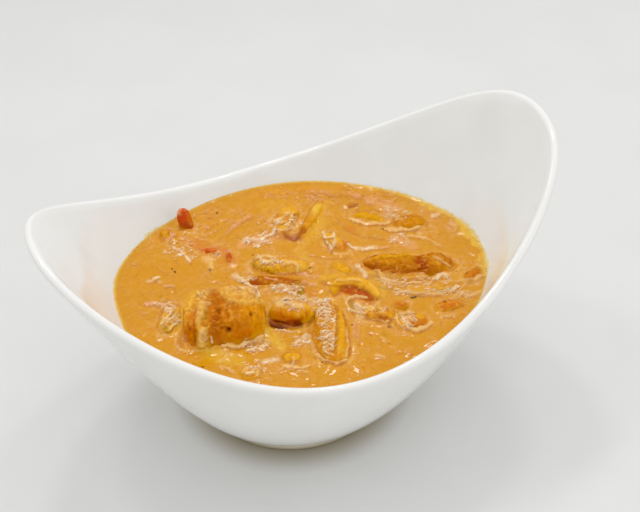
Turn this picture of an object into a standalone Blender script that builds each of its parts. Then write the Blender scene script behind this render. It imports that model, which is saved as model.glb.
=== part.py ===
"""A white saddle-rimmed serving bowl, filled with a creamy lamb and onion curry.

The bowl rises to a point at each end of its long side, the right one higher. The sauce fills it
up to the low middle of the rim, and every piece of meat, onion and pepper that shows is a solid
of its own, seated in a pocket of the sauce.

Frame: metres, +Z up, +X towards the higher tip, -Y towards the low front side. The origin lies
on the surface that the bowl stands on, below the middle of its outer box.
"""

import math
from dataclasses import dataclass, field, replace

import bmesh
import bpy
from mathutils import Matrix, Vector, noise

MM = 0.001
TAU = math.tau

# ---- bowl ------------------------------------------------------------------------------------
RIM_LENGTH = 227.4 * MM        # between the two raised tips
RIM_HALF_WIDTH = 77.4 * MM     # middle of the rim, front and back
RIM_END_TRIPLE = -0.034        # third and fifth waves that shape the ends and the sides
RIM_END_FIFTH = -0.012
RIM_SIDE_TRIPLE = -0.074
RIM_EGG = 0.069                # how much wider the right half is
RIM_LOW_HEIGHT = 70.5 * MM     # lowest level of the rim
RIM_LOW_X = -8.9 * MM          # where along the bowl it is lowest
RIM_RISE_RIGHT = 37.0 * MM     # rise at RISE_REACH from the lowest level, on each side
RIM_RISE_LEFT = 43.0 * MM
RISE_REACH = 100 * MM
RISE_POWER_RIGHT = 2.09
RISE_POWER_LEFT = 1.955
WALL = 3.8 * MM
FOOT_X = -4.4 * MM             # the foot is a little left of the middle
FOOT_RADIUS = 43.5 * MM
FOOT_NECK_RADIUS = 41.5 * MM
FOOT_HEIGHT = 5.2 * MM
FOOT_RING_WIDTH = 4.5 * MM
FOOT_EDGE = 0.8 * MM
RECESS_HEIGHT = 3.6 * MM       # underside of the bowl, inside the foot ring
FLOOR_SHARE = 0.5              # radius of the flat floor inside, as a share of the neck's
LIP_DROP = 0.65                # how far the lip's crest stands above the wall, in wall thicknesses
FLARE = 0.608                  # power that gives the wall its curve, and how it varies round
FLARE_ENDS = -0.112
FLARE_QUARTERS = 0.041
FLARE_THIRDS = -0.072

# ---- contents --------------------------------------------------------------------------------
SAUCE_LEVEL = 61.8 * MM
SAUCE_GAP = 0.45 * MM          # between the sauce and the glaze
POCKET_GAP = 0.45              # between a piece and its pocket in the sauce, in millimetres
ROOT_DEPTH = 4.5 * MM          # how far a piece reaches below the sauce, at most
RIPPLE_HEIGHT = 0.55 * MM
RIPPLE_LENGTH = 15 * MM
RIPPLE_DETAIL = 2.3            # how much finer the second set of ripples is
RIPPLE_DETAIL_SHARE = 0.5
RIPPLE_SEED = 0.3
SWELL_HEIGHT = 1.0 * MM        # how far the sauce climbs up round a piece
SWELL_REACH = 6 * MM
FULL_SWELL_RISE = 4.0          # rise of a piece, in millimetres, that lifts the sauce fully
EDGE_FADE = 0.12               # share of the radius over which the relief dies out at the wall

# ---- surface of a piece ----------------------------------------------------------------------
LUMP_SCALE = 1.7
BUMP_SCALE = 4.1
BUMP_SHARE = 0.5               # bumps are this much lower than lumps
FOLD_REACH = 0.3               # how far down the side of a piece a fold still shows
RIB_WAVES = 17.0

# ---- mesh ------------------------------------------------------------------------------------
SLICES = 44
WALL_RINGS = 8
LIP_STEPS = 4
SAUCE_WALL_RINGS = 5
SAUCE_TOP_RINGS = 8
SLOPE_STEP = 0.01              # step of the differences that give the wall's slopes
HALVINGS = 30                  # steps of the search for the wall at a level
MERGE = 0.02 * MM              # tolerance of the cut that flattens a piece's root
SHARP_ANGLE = math.radians(50)

# ---- finishes --------------------------------------------------------------------------------
PORCELAIN = (0.83, 0.83, 0.80)
PORCELAIN_ROUGHNESS = 0.12
SAUCE = (0.80, 0.36, 0.07)
SAUCE_ROUGHNESS = 0.25
FOOD_COLOURS = {
    "lamb": (0.52, 0.24, 0.05),
    "onion": (0.84, 0.47, 0.12),
    "yellow_pepper": (0.82, 0.45, 0.04),
    "red_pepper": (0.62, 0.09, 0.03),
    "tomato": (0.75, 0.20, 0.03),
    "green_pepper": (0.42, 0.38, 0.06),
}
FOOD_ROUGHNESS = 0.3


@dataclass(frozen=True)
class Fold:
    """A groove across a piece, where its surface dips along a plane."""

    across: tuple              # direction that the plane faces
    offset: float              # where it lies, as a share of the half size
    width: float
    depth: float


@dataclass(frozen=True)
class Chunk:
    """One piece of meat or vegetable that shows above the sauce. Sizes in millimetres."""

    name: str
    food: str                  # a key of FOOD_COLOURS
    place: tuple               # plan position of its middle
    size: tuple                # length, width and height
    rise: float                # how far its top stands above the sauce
    turn: float = 0.0          # about +Z, counted from the bowl's front view
    tip: float = 0.0           # lean of the piece towards the front
    roll: float = 0.0          # lean of the piece towards its right end
    square: float = 2.6        # 2 is an ellipsoid, more is boxier
    bend: float = 0.0          # angle that the piece curves through along its length
    taper: float = 0.0         # how much narrower the right end is
    rough: float = 0.07
    ribs: float = 0.0
    cuts: int = 3
    seed: float = 0.0
    folds: tuple = field(default_factory=tuple)


VIEW_TURN = -20.6              # the bowl is turned this much from the front view

CHUNKS = (
    Chunk("lamb_front", "lamb", (-39.8, -15.9), (35.9, 27.2, 24.9), 13.5, turn=7, tip=-4, roll=-3,
          square=3.7, taper=0.15, rough=0.10, cuts=5, seed=3.0,
          folds=(Fold((0.94, 0.25, 0.1), -0.20, 0.13, 0.17), Fold((0.85, 0.2, -0.35), -0.81, 0.10, 0.18))),
    Chunk("lamb_right", "lamb", (49.4, -8.6), (41, 13.1, 10.9), 4.6, tip=5, roll=-2.5, bend=10, rough=0.12,
          cuts=4, seed=7.0, folds=(Fold((1.0, 0.0, 0.0), 0.22, 0.12, 0.22),)),
    Chunk("lamb_centre", "lamb", (-11.2, -21.0), (19.4, 11.2, 14.4), 7.3, turn=-10, tip=5.5, roll=2,
          square=2.9, rough=0.10, cuts=4, seed=11.0, folds=(Fold((0.0, 0.35, 1.0), 0.10, 0.16, 0.20),)),
    Chunk("lamb_back", "lamb", (-5.1, 11.4), (26.6, 11.5, 9.8), 4.6, turn=-5, roll=5.5, square=2.5,
          rough=0.12, seed=17.0, folds=(Fold((1.0, 0.0, 0.3), -0.15, 0.15, 0.12),)),
    Chunk("lamb_sliver", "lamb", (-9.7, 2.0), (26.8, 7.0, 6.6), 2.1, turn=-2, roll=3, square=2.4,
          taper=0.29, rough=0.10, seed=19.0),
    Chunk("lamb_rear_left", "lamb", (46, 30.5), (16.2, 5.6, 7.1), 1.5, turn=-11, roll=10, rough=0.10, cuts=2,
          seed=23.0),
    Chunk("lamb_rear_right", "lamb", (62, 19.2), (17.4, 9.3, 7.4), 2.5, turn=-2, tip=4, roll=5, taper=0.11,
          rough=0.12, cuts=2, seed=29.0),
    Chunk("onion_strip_front", "onion", (0.9, -37.3), (37, 14, 10.8), 4.7, turn=96, tip=3.5, roll=-4,
          square=2.9, taper=0.10, rough=0.05, ribs=0.035, cuts=4, seed=31.0,
          folds=(Fold((0.0, 1.0, 0.0), -0.42, 0.16, 0.10),)),
    Chunk("onion_rear", "onion", (7.9, 40.9), (21.9, 10.2, 7.4), 4.0, turn=68, tip=-4.5, roll=-7.5,
          square=2.1, rough=0.10, seed=37.0, folds=(Fold((0.2, 1.0, 0.0), 0.05, 0.18, 0.22),)),
    Chunk("onion_fold", "onion", (24, 17.7), (13.8, 7.3, 6.8), 3.3, turn=-49, roll=11, bend=45, rough=0.08,
          cuts=2, seed=41.0),
    Chunk("onion_right_long", "onion", (23.9, -33.6), (16.4, 8.4, 7.8), 3.4, turn=-8, tip=3, roll=3,
          rough=0.10, seed=43.0, folds=(Fold((1.0, 0.0, 0.2), 0.30, 0.14, 0.12),)),
    Chunk("onion_right_round", "onion", (35.6, -43.1), (13.6, 8.8, 8.2), 3.4, turn=14, bend=-8, rough=0.10,
          seed=47.0),
    Chunk("onion_right_small", "onion", (35.3, -32.0), (6.5, 4.7, 6.2), 2.3, turn=-9, taper=0.12, cuts=2,
          seed=53.0),
    Chunk("onion_front_small", "onion", (-19.6, -45.4), (8.6, 5.8, 6.1), 2.3, turn=3, tip=4, roll=3.5,
          cuts=2, seed=59.0),
    Chunk("onion_front_flat", "onion", (-38.4, -48.5), (8.8, 6.6, 4.5), 1.4, turn=13, tip=7, roll=6,
          square=2.9, cuts=2, seed=61.0),
    Chunk("onion_left", "onion", (-60.8, -4.6), (19, 9.6, 7), 2.4, turn=82, roll=5.5, taper=-0.10, rough=0.14,
          seed=67.0, folds=(Fold((1.0, 0.0, 0.0), 0.0, 0.2, 0.16),)),
    Chunk("onion_edge", "onion", (-47.4, 50.4), (5, 7.5, 8.3), 3.4, turn=18, cuts=2, seed=71.0),
    Chunk("yellow_pepper_rear", "yellow_pepper", (19.4, 37.1), (30, 4.6, 8.3), 3.0, turn=70, taper=-0.15,
          square=2.9, bend=9, rough=0.03, cuts=4, seed=73.0),
    Chunk("yellow_pepper_small", "yellow_pepper", (20.1, 0.1), (9.7, 5.6, 4.4), 2.0, turn=-28, tip=-6,
          roll=6, square=3.0, cuts=2, seed=79.0),
    Chunk("red_pepper_rear", "red_pepper", (-36.5, 53.4), (6.4, 4.9, 15.8), 9.9, turn=-13, tip=-11,
          roll=-15, square=3.4, rough=0.04, seed=83.0),
    Chunk("red_pepper_left", "red_pepper", (-31.0, 31.4), (6.3, 3.8, 5.5), 2.4, roll=5, square=3.2, cuts=2,
          seed=89.0),
    Chunk("red_pepper_middle", "red_pepper", (-24.7, 24.3), (7.0, 3.2, 5), 2.1, turn=100, square=3.2, cuts=2,
          seed=97.0),
    Chunk("tomato_right", "tomato", (55.1, -39.4), (13.2, 6.4, 5.7), 2.0, turn=19, tip=-3.5, taper=0.11,
          square=2.8, cuts=2, seed=101.0),
    Chunk("tomato_edge", "tomato", (73.4, -24.2), (9.6, 4.2, 6.8), 2.4, turn=39, tip=5, roll=3, taper=0.17,
          square=2.7, rough=0.12, cuts=2, seed=103.0),
    Chunk("green_pepper_bit", "green_pepper", (-2.2, -8.7), (7.3, 3.2, 4), 1.7, turn=86, tip=-8, square=3.0,
          cuts=2, seed=107.0),
)

# The onion petal is a thin curved layer, open towards the front.
PETAL_PLACE = (19.8, -17.3)
PETAL_LENGTH = 19.5
PETAL_ARC = 98.0               # degrees that it curves through in plan
PETAL_HEIGHT = 8.4
PETAL_RISE = 4.2
PETAL_LEAN = 35.0              # degrees that its wall leans back
PETAL_THICKNESS = 1.6
PETAL_TURN = -17.0
PETAL_COLUMNS = 12
PETAL_ROWS = 3
PETAL_END_LOSS = 0.25          # how much lower its wall is at the two ends
PETAL_FOOT_FLARE = 0.35        # how soon its wall starts to lean back


def clear_scene():
    """Remove every object that the file opened with."""
    for old in list(bpy.data.objects):
        bpy.data.objects.remove(old, do_unlink=True)


def make_material(name, colour, roughness):
    """Return a plain surface of one colour."""
    material = bpy.data.materials.new(name)
    material.use_nodes = True
    shader = material.node_tree.nodes["Principled BSDF"]
    shader.inputs["Base Color"].default_value = (*colour, 1.0)
    shader.inputs["Roughness"].default_value = roughness
    shader.inputs["Metallic"].default_value = 0.0
    return material


def add_object(name, bm, material):
    """Turn a bmesh into a smooth-shaded object of the scene."""
    bmesh.ops.recalc_face_normals(bm, faces=bm.faces)
    mesh = bpy.data.meshes.new(name)
    bm.to_mesh(mesh)
    bm.free()
    mesh.materials.append(material)
    mesh.shade_smooth()
    mesh.set_sharp_from_angle(angle=SHARP_ANGLE)
    piece = bpy.data.objects.new(name, mesh)
    bpy.context.scene.collection.objects.link(piece)
    return piece


def rim_point(angle):
    """Return the crest of the lip at an angle round the bowl."""
    ends = math.cos(angle) + RIM_END_TRIPLE * math.cos(3 * angle) + RIM_END_FIFTH * math.cos(5 * angle)
    sides = math.sin(angle) + RIM_SIDE_TRIPLE * math.sin(3 * angle)
    x = RIM_LENGTH / 2 * ends / (1 + RIM_END_TRIPLE + RIM_END_FIFTH)
    y = RIM_HALF_WIDTH * sides / (1 - RIM_SIDE_TRIPLE) * (1 + RIM_EGG * math.cos(angle))
    reach = (x - RIM_LOW_X) / RISE_REACH
    if reach > 0:
        rise = RIM_RISE_RIGHT * reach ** RISE_POWER_RIGHT
    else:
        rise = RIM_RISE_LEFT * (-reach) ** RISE_POWER_LEFT
    return Vector((x, y, RIM_LOW_HEIGHT + rise))


def outer_point(angle, share):
    """Return the outer wall: share 0 is at the top of the foot, share 1 just below the lip."""
    rim = rim_point(angle)
    base = Vector((FOOT_X + FOOT_NECK_RADIUS * math.cos(angle), FOOT_NECK_RADIUS * math.sin(angle), 0))
    flare = (FLARE + FLARE_ENDS * math.cos(angle) + FLARE_QUARTERS * math.cos(2 * angle)
             + FLARE_THIRDS * math.cos(3 * angle))
    plan = base.lerp(rim, share)
    top = rim.z - LIP_DROP * WALL
    height = FOOT_HEIGHT + (top - FOOT_HEIGHT) * share ** (1 / flare)
    return Vector((plan.x, plan.y, height))


def wall_directions(angle, share):
    """Return the outer wall's outward normal and its upward direction."""
    along = outer_point(angle + SLOPE_STEP, share) - outer_point(angle - SLOPE_STEP, share)
    low = max(share - SLOPE_STEP, 0.0)
    up = (outer_point(angle, low + 2 * SLOPE_STEP) - outer_point(angle, low)).normalized()
    return along.cross(up).normalized(), up


def inner_point(angle, share, gap=0.0):
    """Return the inner wall, or a surface that keeps a gap from it."""
    normal, _ = wall_directions(angle, share)
    return outer_point(angle, share) - normal * (WALL + gap)


def slice_angles():
    """Return the angles of the slices round the bowl."""
    return [TAU * index / SLICES for index in range(SLICES)]


def circle(radius, height):
    """Return a level ring of the foot or of the floor of the bowl."""
    return [Vector((FOOT_X + radius * math.cos(a), radius * math.sin(a), height)) for a in slice_angles()]


def loft(rings):
    """Skin a stack of rings, and close its first and last ring with a fan."""
    bm = bmesh.new()
    slot = bm.verts.layers.int.new("slice")
    first = []
    for index, point in enumerate(rings[0]):
        vert = bm.verts.new(point)
        vert[slot] = index
        first.append(vert)
    edges = [bm.edges.new((first[i], first[(i + 1) % len(first)])) for i in range(len(first))]
    bottom = bmesh.ops.contextual_create(bm, geom=edges)["faces"]
    for ring in rings[1:]:
        grown = bmesh.ops.extrude_edge_only(bm, edges=edges)["geom"]
        edges = [item for item in grown if isinstance(item, bmesh.types.BMEdge)]
        for vert in (item for item in grown if isinstance(item, bmesh.types.BMVert)):
            vert.co = ring[vert[slot]]
    top = bmesh.ops.contextual_create(bm, geom=edges)["faces"]
    bmesh.ops.poke(bm, faces=bottom + top)
    return bm


def build_bowl():
    """Build the bowl from the middle of its recess, out over the foot and lip and down inside."""
    foot_inside = FOOT_RADIUS - FOOT_RING_WIDTH
    rings = [circle(foot_inside - 2 * FOOT_EDGE, RECESS_HEIGHT),
             circle(foot_inside - FOOT_EDGE, RECESS_HEIGHT - FOOT_EDGE),
             circle(foot_inside, FOOT_EDGE / 2),
             circle(foot_inside + FOOT_EDGE, 0.0),
             circle(FOOT_RADIUS - FOOT_EDGE, 0.0),
             circle(FOOT_RADIUS, FOOT_EDGE),
             circle(FOOT_NECK_RADIUS + FOOT_EDGE / 2, FOOT_HEIGHT - FOOT_EDGE)]
    shares = [index / WALL_RINGS for index in range(WALL_RINGS + 1)]
    rings += [[outer_point(angle, share) for angle in slice_angles()] for share in shares]
    for step in range(1, LIP_STEPS):
        swing = math.pi * step / LIP_STEPS
        ring = []
        for angle in slice_angles():
            normal, up = wall_directions(angle, 1.0)
            centre = outer_point(angle, 1.0) - normal * WALL / 2
            ring.append(centre + (normal * math.cos(swing) + up * math.sin(swing)) * WALL / 2)
        rings.append(ring)
    rings += [[inner_point(angle, share) for angle in slice_angles()] for share in reversed(shares)]
    rings.append(circle(FOOT_NECK_RADIUS * FLOOR_SHARE, FOOT_HEIGHT + WALL))
    bowl = add_object("bowl", loft(rings), make_material("porcelain", PORCELAIN, PORCELAIN_ROUGHNESS))
    return bowl


def share_at_level(angle, level, gap):
    """Find by halving where the inner wall passes a level."""
    low, high = 0.0, 1.0
    for _ in range(HALVINGS):
        middle = (low + high) / 2
        if inner_point(angle, middle, gap).z < level:
            low = middle
        else:
            high = middle
    return (low + high) / 2


def plan_turn(angle_deg):
    """Return the turn about +Z of something placed by the front view."""
    return math.radians(VIEW_TURN + angle_deg)


def plan_distance(x, y, chunk):
    """Return how far outside the plan of a piece a point lies."""
    length, width, _ = chunk.size
    turned = Matrix.Rotation(-plan_turn(chunk.turn), 2) @ Vector((x - chunk.place[0] * MM,
                                                                 y - chunk.place[1] * MM))
    scaled = Vector((turned.x / (length / 2 * MM), turned.y / (width / 2 * MM)))
    return (scaled.length - 1) * min(length, width) / 2 * MM


def sauce_relief(x, y):
    """Return the height of the sauce above its level: ripples, and a swell round each piece."""
    spot = Vector((x / RIPPLE_LENGTH, y / RIPPLE_LENGTH, RIPPLE_SEED))
    ripple = RIPPLE_HEIGHT * (noise.noise(spot) + RIPPLE_DETAIL_SHARE * noise.noise(spot * RIPPLE_DETAIL))
    swell = 0.0
    for chunk in CHUNKS:
        distance = max(plan_distance(x, y, chunk), 0.0) / SWELL_REACH
        swell = max(swell, min(chunk.rise / FULL_SWELL_RISE, 1.0) * math.exp(-distance * distance))
    return ripple + SWELL_HEIGHT * swell


def build_sauce(cutters):
    """Build the sauce as one solid up to its level, with a pocket for every piece."""
    shares = {angle: share_at_level(angle, SAUCE_LEVEL, SAUCE_GAP) for angle in slice_angles()}
    rings = [circle(FOOT_NECK_RADIUS * FLOOR_SHARE, FOOT_HEIGHT + WALL + SAUCE_GAP)]
    for index in range(SAUCE_WALL_RINGS + 1):
        part = index / SAUCE_WALL_RINGS
        rings.append([inner_point(angle, shares[angle] * part, SAUCE_GAP) for angle in slice_angles()])
    edge = rings[-1]
    middle = Vector((FOOT_X, 0, SAUCE_LEVEL))
    for index in range(1, SAUCE_TOP_RINGS):
        inward = index / SAUCE_TOP_RINGS
        ring = []
        for point in edge:
            spot = point.lerp(middle, inward)
            spot.z = SAUCE_LEVEL + sauce_relief(spot.x, spot.y) * min(inward / EDGE_FADE, 1.0)
            ring.append(spot)
        rings.append(ring)
    sauce = add_object("sauce", loft(rings), make_material("sauce", SAUCE, SAUCE_ROUGHNESS))
    pockets = sauce.modifiers.new("pockets", "BOOLEAN")
    pockets.operation = "DIFFERENCE"
    pockets.solver = "EXACT"
    pockets.operand_type = "COLLECTION"
    pockets.collection = cutters
    return sauce


def shape_chunk(point, chunk):
    """Move a point of a plain cube onto the uneven surface of a piece, about its own middle."""
    norm = sum(abs(value) ** chunk.square for value in point) ** (1 / chunk.square)
    unit = point / norm
    radius = 1 + chunk.rough * noise.noise(unit * LUMP_SCALE + Vector((chunk.seed, 0, 0)))
    radius += BUMP_SHARE * chunk.rough * noise.noise(unit * BUMP_SCALE + Vector((0, chunk.seed, 0)))
    for fold in chunk.folds:
        across = Vector(fold.across).normalized()
        offset = (unit.dot(across) - fold.offset) / fold.width
        radius -= fold.depth * math.exp(-offset * offset) * max(unit.z + FOLD_REACH, 0.0)
    if chunk.ribs:
        radius += chunk.ribs * math.sin(unit.x * RIB_WAVES) * max(unit.z, 0.0)
    spot = unit * radius
    spot.y *= 1 - chunk.taper * spot.x
    length, width, height = (value / 2 * MM for value in chunk.size)
    spot = Vector((spot.x * length, spot.y * width, spot.z * height))
    if chunk.bend:
        arc_radius = 2 * length / math.radians(chunk.bend)
        swing = spot.x / arc_radius
        reach = arc_radius - spot.y
        spot = Vector((reach * math.sin(swing), arc_radius - reach * math.cos(swing), spot.z))
    return spot


def seat_piece(bm, place, turn, middle, tip=0.0, roll=0.0, gap=0.0):
    """Lean and turn a piece, seat its middle by the sauce's level, and cut its hidden root flat."""
    lean = Matrix.Rotation(math.radians(tip), 3, "X") @ Matrix.Rotation(math.radians(roll), 3, "Y")
    bmesh.ops.transform(bm, matrix=Matrix.Rotation(plan_turn(turn), 3, "Z") @ lean, verts=bm.verts)
    shift = Vector((place[0] * MM, place[1] * MM, SAUCE_LEVEL + middle * MM))
    bmesh.ops.translate(bm, vec=shift, verts=bm.verts)
    root = bmesh.ops.bisect_plane(bm, geom=bm.verts[:] + bm.edges[:] + bm.faces[:], dist=MERGE,
                                  plane_co=(0, 0, SAUCE_LEVEL - ROOT_DEPTH - gap * MM), plane_no=(0, 0, 1),
                                  clear_inner=True)["geom_cut"]
    cut = [item for item in root if isinstance(item, bmesh.types.BMEdge)]
    if cut:
        bmesh.ops.contextual_create(bm, geom=cut)


def chunk_mesh(chunk, gap=0.0):
    """Build one piece from a cube cut into a grid, or its pocket if it stands out by a gap."""
    bm = bmesh.new()
    bmesh.ops.create_cube(bm, size=2.0)
    bmesh.ops.subdivide_edges(bm, edges=bm.edges, cuts=chunk.cuts, use_grid_fill=True)
    bmesh.ops.triangulate(bm, faces=bm.faces, quad_method="FIXED")
    for vert in bm.verts:
        vert.co = shape_chunk(vert.co.copy(), chunk)
    middle = chunk.rise + gap - chunk.size[2] / 2
    seat_piece(bm, chunk.place, chunk.turn, middle, chunk.tip, chunk.roll, gap)
    return bm


def pocket_of(chunk):
    """Return the plainer, slightly larger chunk that a piece's pocket is cut with."""
    size = tuple(value + 2 * POCKET_GAP for value in chunk.size)
    return replace(chunk, size=size, folds=(), ribs=0.0)


def petal_mesh(gap=0.0):
    """Build the onion petal: a strip curved in plan, leaning back, narrow at both ends."""
    bm = bmesh.new()
    bmesh.ops.create_grid(bm, x_segments=PETAL_COLUMNS, y_segments=PETAL_ROWS, size=1.0)
    radius = PETAL_LENGTH / math.radians(PETAL_ARC)
    lean = math.radians(PETAL_LEAN)
    for vert in bm.verts:
        across, up = vert.co.x, (vert.co.y + 1) / 2
        tall = PETAL_HEIGHT * up * (1 - PETAL_END_LOSS * across * across)
        swing = across * math.radians(PETAL_ARC) / 2
        reach = radius + tall * math.sin(lean) * (PETAL_FOOT_FLARE + up)
        vert.co = Vector((reach * math.sin(swing), reach * math.cos(swing) - radius,
                          tall * math.cos(lean))) * MM
    bmesh.ops.recalc_face_normals(bm, faces=bm.faces)
    bmesh.ops.solidify(bm, geom=bm.faces, thickness=PETAL_THICKNESS * MM)
    for vert, normal in [(vert, vert.normal.copy()) for vert in bm.verts]:
        vert.co += normal * gap * MM * vert.calc_shell_factor()
    seat_piece(bm, PETAL_PLACE, PETAL_TURN, PETAL_RISE - PETAL_HEIGHT * math.cos(lean), gap=gap)
    return bm


def add_cutter(bm, name, cutters):
    """Add the pocket of a piece, which is cut out of the sauce."""
    bmesh.ops.recalc_face_normals(bm, faces=bm.faces)
    mesh = bpy.data.meshes.new(name)
    bm.to_mesh(mesh)
    bm.free()
    cutter = bpy.data.objects.new(name, mesh)
    cutter.hide_render = True
    cutter.display_type = "WIRE"
    cutters.objects.link(cutter)


def build_pieces(cutters):
    """Build every piece of food, and the cutter of its pocket."""
    materials = {food: make_material(food, colour, FOOD_ROUGHNESS) for food, colour in FOOD_COLOURS.items()}
    for chunk in CHUNKS:
        add_object(chunk.name, chunk_mesh(chunk), materials[chunk.food])
        add_cutter(chunk_mesh(pocket_of(chunk), POCKET_GAP), "cut_" + chunk.name, cutters)
    add_object("onion_petal", petal_mesh(), materials["onion"])
    add_cutter(petal_mesh(POCKET_GAP), "cut_onion_petal", cutters)


def main():
    """Build the filled bowl."""
    clear_scene()
    cutters = bpy.data.collections.new("pockets")
    bpy.context.scene.collection.children.link(cutters)
    build_bowl()
    build_pieces(cutters)
    build_sauce(cutters)


main()
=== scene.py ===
"""Looks of a saddle-rimmed porcelain bowl of creamy lamb and onion curry.

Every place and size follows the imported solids. The bowl and the sauce are rebuilt finer from the same
formulas, the pieces of food are refined copies of their solids, and the marks on them are placed
through the reference picture's camera, in its pixels.
"""

import logging
import math
from dataclasses import dataclass, field
from enum import Enum

import bmesh
import bpy
import numpy as np
from mathutils import Matrix, Vector, noise
from mathutils.bvhtree import BVHTree


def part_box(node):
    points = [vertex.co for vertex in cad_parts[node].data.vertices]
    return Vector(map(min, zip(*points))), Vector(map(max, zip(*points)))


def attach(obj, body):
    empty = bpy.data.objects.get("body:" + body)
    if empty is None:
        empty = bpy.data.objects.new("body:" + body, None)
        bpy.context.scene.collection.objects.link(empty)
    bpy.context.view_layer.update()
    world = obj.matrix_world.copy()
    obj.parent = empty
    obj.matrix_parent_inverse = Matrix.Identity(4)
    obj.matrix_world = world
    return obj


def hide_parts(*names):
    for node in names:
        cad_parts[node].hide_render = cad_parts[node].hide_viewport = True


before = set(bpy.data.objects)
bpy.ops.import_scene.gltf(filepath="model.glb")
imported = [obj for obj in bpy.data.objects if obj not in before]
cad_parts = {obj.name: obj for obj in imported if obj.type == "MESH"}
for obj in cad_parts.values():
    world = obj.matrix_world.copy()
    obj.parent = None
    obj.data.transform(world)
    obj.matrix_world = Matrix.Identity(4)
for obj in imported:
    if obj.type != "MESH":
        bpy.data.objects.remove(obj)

LOG = logging.getLogger("curry_bowl")
MM = 0.001
TAU = math.tau
BODY = "root"
Array = np.ndarray
Piece = bpy.types.Object
Socket = bpy.types.NodeSocket


class Tint(Enum):
    """Colours that the food shows, as linear red, green and blue."""

    # BROWN, OCHRE, RUST and OLIVE serve as the food's own colours and as painted shade.
    # GLINT, WHITE and PINK serve as painted highlights, and CREAM as cream and painted highlight.
    SAUCE = (0.680, 0.290, 0.001)
    WHITE = (1.000, 0.880, 0.680)
    GLINT = (1.000, 0.760, 0.450)
    EDGE = (0.680, 0.420, 0.060)
    FILM = (0.830, 0.640, 0.270)
    YELLOW = (0.830, 0.500, 0.045)
    FROTH = (0.880, 0.500, 0.090)
    CREAM = (0.930, 0.600, 0.220)
    PINK = (0.900, 0.440, 0.220)
    PALE = (0.880, 0.440, 0.020)
    GOLD = (0.800, 0.375, 0.000)
    OIL = (0.740, 0.290, 0.000)
    ORANGE = (0.680, 0.170, 0.000)
    AMBER = (0.620, 0.190, 0.000)
    OCHRE = (0.500, 0.145, 0.000)
    BROWN = (0.410, 0.095, 0.000)
    RUST = (0.340, 0.042, 0.000)
    RED = (0.620, 0.060, 0.004)
    OLIVE = (0.330, 0.190, 0.003)
    # Near-black: herbs and spice, and painted shade in pits, creases and under pieces.
    PIT = (0.080, 0.010, 0.000)
    HERB = (0.130, 0.080, 0.001)


(SAUCE, WHITE, GLINT, EDGE, FILM, YELLOW, FROTH, CREAM, PINK, PALE, GOLD, OIL, ORANGE, AMBER, OCHRE, BROWN,
 RUST, RED, OLIVE, PIT, HERB) = Tint


class Slot(Enum):
    """Material slots of the record."""

    PORCELAIN = "porcelain"
    SAUCE = "sauce"
    LAMB = "lamb"
    ONION = "onion"
    YELLOW_PEPPER = "yellow_pepper"
    RED_PEPPER = "red_pepper"
    TOMATO = "tomato"
    GREEN_PEPPER = "green_pepper"


def noise_at(points: Array, size: float, seed: float) -> Array:
    """Return seeded smooth noise, between about -1 and 1, with lumps of a size in metres, at each point."""
    shift = Vector((seed, -seed, 2 * seed))
    return np.array([noise.noise(Vector(point) / size + shift) for point in points])


def smooth_step(values: Array, low: float, high: float) -> Array:
    """Return 0 below low, 1 above high and a smooth ramp between them."""
    share = np.clip((values - low) / (high - low), 0.0, 1.0)
    return share * share * (3 - 2 * share)


def bell(values: Array, reach: float) -> Array:
    """Return 1 at zero, falling off on both sides over a reach."""
    return np.exp(-((values / reach) ** 2))


def crests(values: Array, sharpness: float) -> Array:
    """Return thin crests where noise passes zero, the narrower the sharper."""
    return np.clip(1 - sharpness * np.abs(values), 0.0, 1.0)


def swing_from(angles: Array, middle: float) -> Array:
    """Return how far angles are from a middle one, between -pi and pi."""
    return (angles - middle + math.pi) % TAU - math.pi


@dataclass(frozen=True)
class Pattern:
    """A seeded noise pattern.

    Attributes:
        size: length of a typical lump, in metres.
        seed: picks the pattern.
        low: value from which it shows.
        high: value at which it shows in full.
    """

    size: float
    seed: float
    low: float = 0.0
    high: float = 1.0

    def values(self, points: Array) -> Array:
        """Return the noise at each point, between about -1 and 1."""
        return noise_at(points, self.size, self.seed)

    def lumps(self, points: Array) -> Array:
        """Return how much the pattern's lumps show at each point."""
        return smooth_step(self.values(points), self.low, self.high)

    def hollows(self, points: Array) -> Array:
        """Return how much the pattern's hollows show at each point."""
        return smooth_step(-self.values(points), self.low, self.high)


@dataclass(frozen=True)
class ReferenceView:
    """The camera of the reference picture, and the way from places on the food to its pixels."""

    place: tuple = (-0.14604, -0.41503, 0.45035)
    target: tuple = (0.01472, 0.01268, 0.06148)
    focal: float = 1322.6
    columns: int = 640
    rows: int = 512
    sensor: float = 36.0

    def matrix(self) -> Matrix:
        """Return the camera's place and turn."""
        direction = Vector(self.target) - Vector(self.place)
        return Matrix.Translation(self.place) @ direction.to_track_quat("-Z", "Y").to_matrix().to_4x4()

    def pixels(self, points: Array) -> Array:
        """Return the pixels at which points show.

        Args:
            points: places in metres, one row each.

        Returns:
            A column and a row of the picture for each point.
        """
        inverse = np.array(self.matrix().inverted())
        local = points @ inverse[:3, :3].T + inverse[:3, 3]
        scale = self.focal / -local[:, 2]
        return np.stack([self.columns / 2 + local[:, 0] * scale, self.rows / 2 - local[:, 1] * scale], 1)

    def facing(self, points: Array, normals: Array) -> Array:
        """Return how squarely each point faces the camera.

        Args:
            points: places in metres, one row each.
            normals: outward unit normals, one row each.

        Returns:
            The cosine of the angle between normal and line of sight.
        """
        sight = np.array(self.place) - points
        sight /= np.linalg.norm(sight, axis=1)[:, None]
        return (sight * normals).sum(1)

    def add_camera(self) -> Piece:
        """Return the scene's camera, made at the reference picture's place."""
        data = bpy.data.cameras.new("reference_camera")
        data.sensor_width = self.sensor
        data.lens = self.focal / self.columns * self.sensor
        camera = bpy.data.objects.new("reference_camera", data)
        camera.matrix_world = self.matrix()
        bpy.context.scene.collection.objects.link(camera)
        bpy.context.scene.camera = camera
        return camera


VIEW = ReferenceView()


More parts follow.
